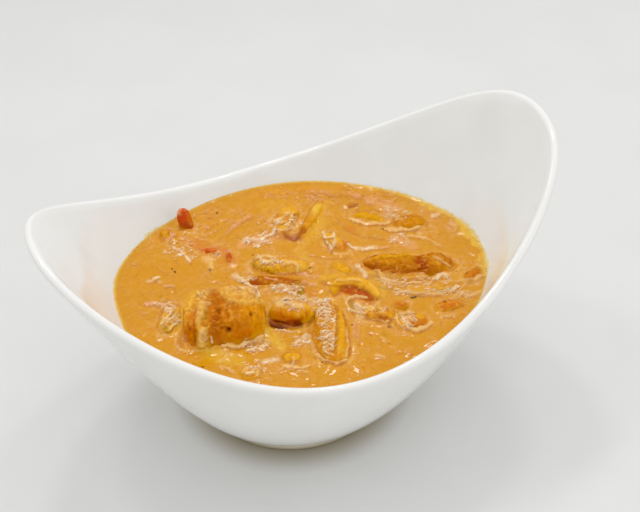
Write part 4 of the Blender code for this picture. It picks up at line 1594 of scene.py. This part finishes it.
# Notch, folds, grooves, hollows and pits are dents with painted shade; the shine marks are painted
# highlights.
# The pale top and amber right face are sauce, oil and partly painted light from above.
LAMB_FRONT_MARKS = marks(
    left_of_notch=(FROTH, (192, 298, 200, 291, 210, 286), 7, .9, .7),
    top_right=(FROTH, (226, 292, 241, 292, 257, 295), 7, .95, .5),
    top_froth=(CREAM, (196, 296, 203, 290, 211, 287), 4.5, .55, .4, .4),
    back_edge=(CREAM, (229, 289, 243, 288, 257, 292), 2.2, .5, .3),
    left_corner=(FROTH, (188, 300, 187, 308, 190, 314), 5, .8, .4),
    left_corner_light=(CREAM, (184, 306, 182, 316), 1.2, .6, .4, .5),
    right_face=(AMBER, (238, 312, 250, 312, 257, 325, 243, 333, 233, 324), 11, .9),
    face_gold=(OIL, (246, 309, 256, 312, 258, 326), 8.5, .85),
    face_low=(ORANGE, (236, 334, 248, 332), 4, .6, .3),
    face_low_gold=(GOLD, (252, 337, 262, 333), 3.4, .5),
    top_edge=(FROTH, (229, 302, 246, 303, 262, 302), 2.6, .9, 1.1),
    notch=(BROWN, (213, 294, 217, 298, 221, 301), 5.5, .7, -.7),
    notch_glow=(ORANGE, (215, 295, 220, 300), 3, .6),
    fold_up=(OCHRE, (214, 304, 214, 312), 6.5, .7, -1),
    fold=(RUST, (213, 318, 215, 326), 4.5, .75, -1.4),
    fold_low=(OCHRE, (212, 332, 212, 340), 5.5, .6, -.9),
    face_shade=(BROWN, (229, 305, 237, 307), 3, .45, -.2),
    streak_a=(RUST, (216, 305, 219, 318), 1.5, .65, -.5),
    streak_b=(RUST, (226, 306, 228, 318), 1.4, .6, -.5),
    ridge=(ORANGE, (222, 304, 223, 320), 1.8, .7, .8),
    ridge_low=(AMBER, (216, 323, 230, 321), 1.6, .6, .6),
    ridge_left=(ORANGE, (211, 306, 210, 318), 1.4, .6, .5),
    left_lobe=(FROTH, (203, 304, 200, 313, 199, 322), 4.6, .95, 1.3),
    left_lobe_shine=(CREAM, (209, 302, 204, 306), 2.2, .7, .4),
    left_low_lobe=(FROTH, (203, 330, 202, 344), 4.8, .95, 1.5),
    left_low_shine=(CREAM, (203, 331, 203, 338), 2.8, .7, .4),
    top_knobs=Cluster((204, 292), (10, 5), 10, 20, 2.6, CREAM, 1.2, .45, .6),
    top_right_knobs=Cluster((244, 295), (15, 5), 12, 0, 3, CREAM, 1.1, .4, .5),
    top_pits=Cluster((240, 296), (17, 5), 8, 0, 3, OIL, 1.1, .5, -.5),
    fold_swirl=Cluster((219, 313), (7, 9), 10, 70, 5, ORANGE, .9, .6, .7),
    fold_dark=Cluster((217, 320), (7, 12), 10, 70, 4, RUST, .9, .5, -.6),
    lobe_knobs=Cluster((201, 313), (5, 11), 12, 0, 2.6, CREAM, 1.3, .55, .7),
    lobe_knobs_low=Cluster((203, 337), (4, 7), 7, 60, 2.6, CREAM, 1.2, .55, .6),
    lobe_pits=Cluster((204, 319), (5, 10), 8, 20, 2.6, OLIVE, 1, .6, -.7),
    hollow_a=(OLIVE, (206, 313, 207, 317), 2, .5, -.7),
    hollow_b=(OCHRE, (201, 325, 206, 326), 1.8, .6, -.9),
    far_left=(ORANGE, (192, 317, 188, 328, 186, 342), 5, .85),
    far_left_groove=(RUST, (196, 310, 194, 325, 195, 343), 1.4, .4, -.7),
    far_left_red=(RUST, (189, 325, 188, 333), 2.6, .35),
    far_left_shine=(PINK, (186, 336, 186, 343), 1.4, .6, .3),
    far_left_foot=(SAUCE, (182, 340, 184, 347, 198, 349), 3.5, .6),
    far_left_dot=(PIT, (189.4, 311.9), 1.5, .6),
    foot_red=(RUST, (182, 344.5, 196, 345), 1.2, .45),
    low_middle=(BROWN, (217, 334, 219, 340, 222, 345), 4, .6),
    pit_halo=(PALE, (229, 334), 3.2, .3, .3),
    pit=(PIT, (228.6, 330), 2.7, 1, -1.3),
    pit_tail=(RUST, (222, 327, 226, 328), 1.7, .7, -.4),
    pit_right=(PIT, (250.7, 313.9), 1.9, .85, -.9),
    pit_right_tail=(RUST, (255, 313), 1.2, .6),
    pit_top=(PIT, (257, 302.8), 1, .6),
    low_shine=(GLINT, (211, 338, 212, 343), 1, .8, .4),
    right_rim=(PALE, (263, 298, 265, 312, 264.5, 328), 2.4, .95, .4),
    herb_strip=(HERB, (189, 301, 194, 294, 202.5, 285.7), 1, .85),
    top_lumps=(CREAM, (201, 295.5, 205.5, 299), 1.8, .8, .6),
    top_dark_line=(OCHRE, (199, 304, 205, 302, 211, 300), 1.2, .7, -.5),
    back_dots=(RUST, (231, 285, 240, 290), .9, .4, 0, .5),
)

# Its dark ochre front is brown meat and painted shade; the gold top line and cream top marks are painted
# highlights.
# The dips, creases and low brown marks are painted shade.
LAMB_RIGHT_MARKS = marks(
    body=(OCHRE, (362, 266, 385, 265, 410, 266, 440, 268), 9, .85),
    left_tip=(OIL, (358, 259, 366, 258), 2.5, .6),
    gold_a=(OIL, (384, 261, 398, 262), 3.8, .55, .5),
    gold_b=(OIL, (434, 264, 446, 268), 4, .55, .4),
    gold_c=(OIL, (406, 258, 412, 260), 2.6, .5, .4),
    left_red=(RUST, (364, 267, 378, 267), 3.6, .5, -.3),
    middle_red=(RUST, (417, 257, 422, 262, 424, 268), 4.8, .9, -1.1),
    right_dip=(BROWN, (402, 262, 406, 269), 2.6, .5, -.7),
    middle_low=(BROWN, (398, 271, 406, 272), 2.6, .6, -.4),
    low_red=(RUST, (408, 273, 416, 274), 2.8, .6, -.2),
    top_line=(GOLD, (364, 261, 380, 257.5, 400, 256, 415, 254), 1.5, .8, .5),
    top_olive=(OLIVE, (378, 260, 398, 258.5, 415, 257.5), 1, .45, -.2),
    right_top=(CREAM, (434, 257, 442, 261, 450, 266), 1.2, .7, .4, .4),
    right_end=(PALE, (448, 268, 455, 273), 2.6, .6),
    low_left=(BROWN, (378, 270, 395, 273), 2, .5),
    right_ridges=Cluster((395, 262), (30, 5), 16, -8, 8, OIL, 1.6, .6),
    right_creases=Cluster((400, 266), (34, 5), 14, -8, 6, RUST, .9, .5, -.6),
)

# Rust and near-black marks along its low edge and grooves are painted shade; top_shine and the froth cluster
# are painted highlights.
LAMB_CENTRE_MARKS = marks(
    top_merge=(PALE, (266, 303, 284, 298, 302, 300, 316, 310), 6.5),
    body=(ORANGE, (272, 314, 290, 317, 304, 316), 4.2, .6, .2),
    body_gold=(SAUCE, (298, 311, 312, 316), 4.4, .9, .3),
    left_lump=(OIL, (270, 307, 272, 315), 4.4, .9, .5),
    left_orange=(ORANGE, (268, 312, 272, 317), 2.4, .5),
    groove=(BROWN, (281, 314, 284, 318), 1.3, .4, -.5),
    groove_right=(BROWN, (299, 313, 302, 318), 1.2, .35, -.4),
    top_shine=(CREAM, (278, 304, 290, 305, 301, 307), 3.4, .9, .5, .15),
    gold_middle=(OIL, (284, 313, 296, 315, 308, 316), 2.6, .8, .3),
    centre_froth=Cluster((290, 306), (12, 3), 12, 5, 4, show=.8),
    end_dots=(RUST, (306, 313, 307, 318), 1.6, .7, 0, .4),
    low=(RUST, (270, 321, 283, 323, 302, 322), 2.8, .95, -.4),
    low_pit_left=(PIT, (271, 323.5, 281, 325), 2, .8, -.4),
    low_pit_right=(PIT, (295, 324, 301, 325), 1.8, .7, -.3),
)

# The cream loops and pink top line are painted highlights, and the olive at its left end is painted shade.
LAMB_BACK_MARKS = marks(
    gold=(PALE, (256, 261, 278, 263, 303, 264), 6.5, .95, .3),
    froth_left=(FROTH, (262, 261, 272, 263), 4.5, .8, .3),
    froth_right=(FROTH, (288, 264, 298, 266), 4.5, .7, .3),
    middle_dip=(OIL, (279, 262, 281, 269), 1.8, .6, -.6),
    pink_top=(PINK, (276, 256, 290, 257, 302, 259), 1.1, .6, .3, .3),
    loop_a=(CREAM, (255, 259, 263, 257, 272, 258, 276, 262, 266, 263), 1.3, .9, .5),
    loop_b=(CREAM, (284, 265, 291, 263, 298, 266, 297, 271), 1.4, .9, .5),
    left_olive=(OLIVE, (253, 257, 253, 266), 2.4, .6, -.3),
    speck=(PIT, (268, 271), 1.3, .7),
)

# Its dark brown, darkest at the left, is meat colour and painted shade below the back piece; pink_line is a
# painted highlight.
SLIVER_MARKS = marks(
    body=(OCHRE, (248, 279, 262, 280, 282, 281, 300, 282), 5, .9),
    left_dark=(RUST, (250, 280, 256, 284, 262, 287), 4.2, .85),
    middle_dark=(BROWN, (268, 278, 280, 280, 296, 281), 3, .75, -.3),
    pink_line=(PINK, (265, 277.5, 271, 279, 277, 279.5), 1, .8, .4),
    right_pale=(PALE, (300, 278, 310, 279, 322, 279), 2.2, .8, .3),
    low_olive=(OLIVE, (268, 286, 280, 287, 292, 287), 1.6, .5),
)

# The olive groove and ridge_shade are painted shade, and the dashes are painted glints.
STRIP_MARKS = marks(
    left_side=(OIL, (314, 318, 313, 335, 317, 352), 4, .8),
    groove=(OLIVE, (337, 306, 337, 330, 335, 352), 1.4, .35, -.9),
    right_ridge=(GOLD, (342, 312, 342, 332, 340, 352), 3, .9, .3),
    right_line=(CREAM, (335, 316, 334, 333, 333, 350), 1.3, .6, .5, .3),
    ridge_shade=(OLIVE, (325, 310, 326, 330, 326, 352), 5.5, .25, .5),
    strip_dashes=Cluster((326, 318), (6, 13), 22, 8, 7, GLINT, .8, .95, .5),
    strip_dashes_low=Cluster((326, 342), (6, 14), 22, 8, 7, GLINT, .8, .95, .5),
    end_dot=(PIT, (321, 358, 323, 360), 1.4, .7),
)

# The curl's hollow is dark sauce with painted shade in it; band_shine is a painted highlight.
PETAL_MARKS = marks(
    top_cut=(SAUCE, (330, 275, 345, 273, 358, 274), 2.6, .8),
    hollow=(BROWN, (343, 289, 354, 289, 364, 293, 373, 301), 5.5, .95),
    hollow_glow=(RED, (345, 291, 357, 292, 367, 297), 3.2, .6),
    hollow_dark=(RUST, (345, 287, 357, 288, 368, 294), 1.8, .6),
    band_tail=(PALE, (324, 283, 334, 281.5, 344, 281), 2.2, .95),
    band=(PALE, (344, 280, 360, 280.5, 371, 285, 376, 292), 2.9, .95),
    band_shine=(CREAM, (336, 280.5, 350, 279.5, 360, 280.5), .9, .6, .3),
)

# Painted shade in the curl's hollow, over darker sauce.
PETAL_HOLLOW = marks(
    hollow=(ORANGE, (343, 290, 356, 294, 370, 299), 6, .9, -.8),
    hollow_dark=(BROWN, (345, 290, 358, 293, 371, 298), 4, .85, -.5),
)

# The pale marks are painted highlights.
REAR_MARKS = marks(
    pale_a=(CREAM, (273, 222, 281, 219, 289, 213), 1.4, .85, .5, .3),
    pale_b=(CREAM, (274, 229, 283, 231, 292, 226), 1.4, .85, .5, .3),
    amber=(AMBER, (279, 214, 288, 219), 2.2, .5),
    dark=(BROWN, (282, 225, 290, 222), 1.6, .4, -.3),
)

YELLOW_STRIP_MARKS = marks(
    top=(YELLOW, (311, 214, 319, 204), 5, .9),
    middle=(AMBER, (306, 222, 311, 215), 4, .6),
    foot=(RUST, (297, 238, 303, 230), 4.5, .8),
)

# long_specks are painted glints.
LUMP_LONG_MARKS = marks(
    froth_top=(FROTH, (368, 307, 378, 306, 390, 308), 3, .85, .3),
    body=(OIL, (370, 313, 380, 313, 392, 313), 3.4, .7),
    low_dark=(RUST, (380, 317, 386, 318), 2.4, .7),
    left_dark=(RUST, (366, 315.5, 368, 316), 1.6, .6),
    dip=(OLIVE, (376, 309, 377, 315), 1.3, .5, -.5),
    long_specks=Cluster((379, 308), (11, 3), 8, 10, 3, show=.7),
)

LUMP_ROUND_MARKS = marks(
    olive=(OLIVE, (401, 316, 408, 314), 2.6, .5),
    orange=(ORANGE, (414, 320, 420, 324, 425, 321), 4.5, .75),
    gold=(GOLD, (417, 316, 423, 317), 2, .8, .3),
    low=(BROWN, (414, 328, 423, 327), 1.8, .6),
)

# The dark lower corner is painted shade and the pink shine a painted highlight.
RED_REAR_MARKS = marks(
    light=(RED, (180, 212, 183, 220), 6, .9),
    orange_side=(ORANGE, (190, 214, 190, 226), 3, .6),
    dark_corner=(RUST, (186, 226, 190, 230), 4.5, .8),
    shine=(PINK, (178, 213, 181, 209), 1.6, .5),
)

MORSELS = (
    Morsel("lamb_front", *LAMB, AMBER, PALE, 0.3, lumps=0.45 * MM, lump_size=4.5 * MM, knobs=0.26 * MM,
           knob_shade=0.34, marks=LAMB_FRONT_MARKS),
    Morsel("lamb_right", *LAMB, OCHRE, OIL, 0.25, lumps=1.3 * MM, lump_size=7 * MM, knobs=0.03 * MM,
           knob_shade=0.15, marks=LAMB_RIGHT_MARKS),
    Morsel("lamb_centre", *LAMB, ORANGE, SAUCE, 0.8, lumps=0.4 * MM, lump_size=5 * MM, mottle=0.1,
           knobs=0.02 * MM, knob_shade=0.0, marks=LAMB_CENTRE_MARKS),
    Morsel("lamb_back", *LAMB, GOLD, SAUCE, 0.8, lumps=0.4 * MM, lump_size=6 * MM, mottle=0.15,
           knobs=0.02 * MM, knob_shade=0.0, marks=LAMB_BACK_MARKS),
    Morsel("lamb_sliver", *LAMB, OCHRE, AMBER, 0.6, voxel=0.3 * MM, marks=SLIVER_MARKS),
    Morsel("lamb_rear_left", *LAMB, OIL, GOLD, 0.7, voxel=0.3 * MM),
    Morsel("lamb_rear_right", *LAMB, OCHRE, OIL, 0.7, voxel=0.3 * MM),
    Morsel("onion_strip_front", *ONION, AMBER, OIL, 0.6, marks=STRIP_MARKS),
    Morsel("onion_rear", *ONION, SAUCE, PALE, 0.6, marks=REAR_MARKS),
    Morsel("onion_fold", *ONION, SAUCE, PALE, 0.6, voxel=0.25 * MM),
    Morsel("onion_right_long", *ONION, OCHRE, PALE, 0.7, voxel=0.3 * MM, marks=LUMP_LONG_MARKS),
    Morsel("onion_right_round", *ONION, ORANGE, GOLD, 0.6, voxel=0.3 * MM, marks=LUMP_ROUND_MARKS),
    Morsel("onion_right_small", *ONION, ORANGE, AMBER, 0.5, voxel=0.25 * MM),
    Morsel("onion_front_small", *ONION, OIL, GOLD, 0.8, voxel=0.25 * MM),
    Morsel("onion_front_flat", *ONION, SAUCE, PALE, 0.6, voxel=0.25 * MM),
    Morsel("onion_left", *ONION, SAUCE, PALE, 0.6, voxel=0.3 * MM),
    Morsel("onion_edge", *ONION, OIL, SAUCE, 0.6, voxel=0.25 * MM),
    Morsel("onion_petal", *ONION, GOLD, GOLD, 0.6, voxel=0.25 * MM, lumps=0.1 * MM, mottle=0.1, knobs=0.0,
           knob_shade=0.0, marks=PETAL_MARKS),
    Morsel("yellow_pepper_rear", *YELLOW_PEPPER, OIL, GOLD, 0.8, lumps=0.15 * MM, voxel=0.3 * MM,
           mottle=0.15, knobs=0.0, knob_shade=0.0, marks=YELLOW_STRIP_MARKS),
    Morsel("yellow_pepper_small", *YELLOW_PEPPER, OIL, GOLD, 0.8, voxel=0.25 * MM, lumps=0.15 * MM),
    Morsel("red_pepper_rear", *RED_PEPPER, RED, RED, 0.5, voxel=0.3 * MM, lumps=0.3 * MM,
           marks=RED_REAR_MARKS),
    Morsel("red_pepper_left", *RED_PEPPER, RED, RED, 0.5, voxel=0.25 * MM, lumps=0.3 * MM),
    Morsel("red_pepper_middle", *RED_PEPPER, RUST, RED, 0.5, voxel=0.25 * MM, lumps=0.3 * MM),
    Morsel("tomato_right", *TOMATO, ORANGE, AMBER, 0.5, voxel=0.25 * MM),
    Morsel("tomato_edge", *TOMATO, ORANGE, AMBER, 0.5, voxel=0.25 * MM),
    Morsel("green_pepper_bit", *GREEN_PEPPER, OLIVE, OLIVE, 0.3, voxel=0.2 * MM, lumps=0.1 * MM),
)


@dataclass(frozen=True)
class SpeckFinish:
    """Finish of a scrap of herb or spice: dull, mottled between two tones."""

    name: str
    dark: Tint
    light: Tint
    mottle: float = 0.6 * MM
    mottle_range: tuple = (0.4, 0.6)
    roughness: float = 0.5

    def material(self) -> bpy.types.Material:
        """Return the material."""
        finish = Finish(self.name)
        share = finish.ramp(finish.noise(finish.place, self.mottle), *self.mottle_range)
        return finish.done({"Base Color": finish.mix(share, self.dark.value, self.light.value),
                            "Roughness": self.roughness})


@dataclass
class Scraps:
    """Herb scraps and specks of spice that lie on the food.

    Attributes:
        leaves: pixel, turn in degrees and length in millimetres of each scrap of leaf.
        speck_area: columns and rows between which specks are drawn.
        speck_proud: how far a speck's middle lies above the food, as a share of its radius.
    """

    leaves: tuple = (((217, 213), 20, 1.9), ((175, 272), 60, 1.8), ((310, 268), 10, 1.6),
                     ((413.5, 297.5), -35, 3.0), ((389, 327), 60, 1.6), ((323, 362), -60, 1.4),
                     ((210, 270), 70, 1.4), ((172, 269), -20, 1.2), ((294, 215), 30, 1.2),
                     ((383, 229), -15, 1.3), ((203, 367), 15, 1.2), ((242, 283), 50, 1.2),
                     ((190, 329), 80, 1.3), ((352, 325), 0, 1.1), ((253, 255), -30, 1.1),
                     ((286, 300), 40, 1.6))
    leaf_thickness: float = 0.14 * MM
    leaf_slimness: float = 0.42
    leaf_tip: float = 1.02
    leaf_power: float = 0.7
    leaf_wave: float = 0.16 * MM
    leaf_waves: tuple = (1.4, 0.5)
    leaf_columns: int = 8
    speck_count: int = 110
    speck_radius: tuple = (0.10 * MM, 0.26 * MM)
    speck_area: tuple = ((125, 485), (192, 380))
    speck_seed: int = 71
    speck_proud: float = 0.3
    rise: float = 0.02 * MM
    trees: list = field(default_factory=list)

    def gather(self, pieces: list[Piece]) -> None:
        """Note the surfaces that scraps may lie on."""
        self.trees = [BVHTree.FromPolygons([vert.co for vert in piece.data.vertices],
                                           [tuple(face.vertices) for face in piece.data.polygons])
                      for piece in pieces]

    def landing(self, pixel: tuple) -> tuple[Vector, Vector] | None:
        """Return where the sight line through a pixel first meets the food, and the way out of it there."""
        eye = Vector(VIEW.place)
        local = Vector(((pixel[0] - VIEW.columns / 2) / VIEW.focal, (VIEW.rows / 2 - pixel[1]) / VIEW.focal,
                        -1.0))
        sight = (VIEW.matrix().to_3x3() @ local).normalized()
        hits = [tree.ray_cast(eye, sight) for tree in self.trees]
        hits = [(distance, spot, normal) for spot, normal, _, distance in hits if spot]
        if not hits:
            return None
        _, spot, normal = min(hits, key=lambda hit: hit[0])
        return spot, normal

    def add_leaf(self, bm: bmesh.types.BMesh, place: Vector, normal: Vector, turn: float,
                 length: float) -> None:
        """Add one thin wavy scrap, pointed at both ends.

        Args:
            bm: where it is added.
            place: the spot that it lies on.
            normal: the way out of the food there.
            turn: its direction, in radians.
            length: its length in metres.
        """
        sheet = bmesh.new()
        bmesh.ops.create_grid(sheet, x_segments=self.leaf_columns, y_segments=3, size=0.5)
        for vert in sheet.verts:
            along, across = vert.co.x, vert.co.y
            taper = self.leaf_slimness * (self.leaf_tip - (2 * along) ** 2) ** self.leaf_power
            swing = self.leaf_waves[0] * along + self.leaf_waves[1] * across
            wave = self.leaf_wave * math.sin(TAU * swing)
            vert.co = (along * length, across * taper * length, wave)
        bmesh.ops.solidify(sheet, geom=sheet.faces, thickness=self.leaf_thickness)
        bmesh.ops.recalc_face_normals(sheet, faces=sheet.faces)
        tilt = normal.to_track_quat("Z", "Y").to_matrix().to_4x4()
        lifted = place + normal * (self.leaf_thickness + self.rise)
        bmesh.ops.transform(sheet, matrix=Matrix.Translation(lifted) @ tilt @ Matrix.Rotation(turn, 4, "Z"),
                            verts=sheet.verts)
        scrap = bpy.data.meshes.new("scrap")
        sheet.to_mesh(scrap)
        sheet.free()
        bm.from_mesh(scrap)
        bpy.data.meshes.remove(scrap)

    def build(self, pieces: list[Piece]) -> None:
        """Build the scraps.

        Args:
            pieces: the finished food that they lie on.
        """
        self.gather(pieces)
        leaves = bmesh.new()
        for pixel, turn, length in self.leaves:
            found = self.landing(pixel)
            if found:
                self.add_leaf(leaves, *found, math.radians(turn), length * MM)
        settle(add_piece("herb_scraps", leaves, SpeckFinish("herb_finish", PIT, HERB).material()),
               Slot.GREEN_PEPPER)
        specks = bmesh.new()
        draw = np.random.default_rng(self.speck_seed)
        for _ in range(self.speck_count):
            pixel = tuple(draw.uniform(low, high) for low, high in self.speck_area)
            radius = draw.uniform(*self.speck_radius)
            found = self.landing(pixel)
            if found:
                place, normal = found
                matrix = Matrix.Translation(place + normal * self.speck_proud * radius)
                bmesh.ops.create_icosphere(specks, subdivisions=1, radius=radius, matrix=matrix)
        settle(add_piece("spice_specks", specks, SpeckFinish("spice_finish", PIT, RUST).material()),
               Slot.SAUCE)


@dataclass(frozen=True)
class FloorFinish:
    """Finish of the pale floor: matt, faintly mottled, with a painted fall-off of light that darkens it far
    behind the bowl, and a painted warm contact shadow where it meets the foot."""

    colour: tuple = (0.765, 0.775, 0.780)
    far_shade_colour: tuple = (0.470, 0.478, 0.482)
    cloud_colour: tuple = (0.750, 0.760, 0.762)
    far_start: float = 0.04
    far_end: float = 1.30
    contact_shadow_colour: tuple = (0.330, 0.285, 0.190)
    contact_shadow_share: float = 0.85
    contact_shadow_start: float = 59 * MM
    contact_shadow_end: float = 41 * MM
    cloud_size: float = 0.06
    cloud_grain: float = 3.0
    cloud_range: tuple = (0.35, 0.65)
    roughness: float = 0.55

    def material(self) -> bpy.types.Material:
        """Return the material."""
        finish = Finish("floor_finish")
        clouds = finish.ramp(finish.noise(finish.place, self.cloud_size, self.cloud_grain), *self.cloud_range)
        colour = finish.mix(clouds, self.colour, self.cloud_colour)
        # Painted fall-off of light: darker far behind the bowl.
        along = finish.add("ShaderNodeSeparateXYZ", {0: finish.place}).outputs[1]
        colour = finish.mix(finish.ramp(along, self.far_start, self.far_end), colour, self.far_shade_colour)
        # Painted warm contact shadow round the foot.
        away = finish.add("ShaderNodeVectorMath", {0: finish.place, 1: (FORM.foot_x, 0.0, 0.0)},
                          operation="DISTANCE").outputs["Value"]
        near_foot_shadow = finish.ramp(away, self.contact_shadow_start, self.contact_shadow_end, 0.0, self.contact_shadow_share)
        return finish.done({"Base Color": finish.mix(near_foot_shadow, colour, self.contact_shadow_colour),
                            "Roughness": self.roughness})


@dataclass
class Studio:
    """Plain pale floor, soft light and the world's fill."""

    floor_size: float = 12.0
    world_colour: tuple = (1.0, 0.985, 0.96)
    world_strength: float = 0.78
    lamps: tuple = (("overhead_light", (0.12, 0.02, 1.30), 1.2, 1.5),
                    ("front_light", (0.75, -1.15, 0.60), 0.9, 1.6),
                    ("glint_light_a", (0.02, 0.42, 1.00), 0.11, 0.9),
                    ("glint_light_b", (0.28, 0.30, 0.95), 0.10, 0.6),
                    ("glint_light_c", (-0.26, 0.26, 0.95), 0.10, 0.5))

    def add_floor(self) -> None:
        """Add the floor that the bowl stands on."""
        bm = bmesh.new()
        bmesh.ops.create_grid(bm, x_segments=1, y_segments=1, size=self.floor_size / 2)
        add_piece("floor", bm, FloorFinish().material())

    def add_light(self, name: str, place: tuple, size: float, power: float) -> None:
        """Add a square soft light that looks at the bowl.

        Args:
            name: name of the light.
            place: where it hangs, in metres.
            size: length of its sides.
            power: its power in watts.
        """
        data = bpy.data.lights.new(name, "AREA")
        data.size = size
        data.energy = power
        light = bpy.data.objects.new(name, data)
        light.location = place
        light.rotation_euler = (-Vector(place)).to_track_quat("-Z", "Y").to_euler()
        bpy.context.scene.collection.objects.link(light)

    def build(self) -> None:
        """Build the studio and its camera."""
        VIEW.add_camera()
        self.add_floor()
        world = bpy.data.worlds.new("studio_world")
        world.use_nodes = True
        background = world.node_tree.nodes["Background"]
        background.inputs["Color"].default_value = (*self.world_colour, 1.0)
        background.inputs["Strength"].default_value = self.world_strength
        bpy.context.scene.world = world
        for name, place, size, power in self.lamps:
            self.add_light(name, place, size, power)
        bpy.context.scene.view_settings.view_transform = "Standard"
        LOG.info("studio ready")


def main() -> None:
    """Build the bowl, the sauce, the food and the studio."""
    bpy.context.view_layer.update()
    Studio().build()
    sauce = CurrySauce()
    ServingBowl().build(sauce.level)
    food = [sauce.build(PETAL_HOLLOW + SURFACE_MARKS)]
    food += [morsel.build(sauce.level) for morsel in MORSELS]
    Scraps().build(food)


if __name__ == "__main__":
    logging.basicConfig(level=logging.INFO, format="%(message)s")
    main()
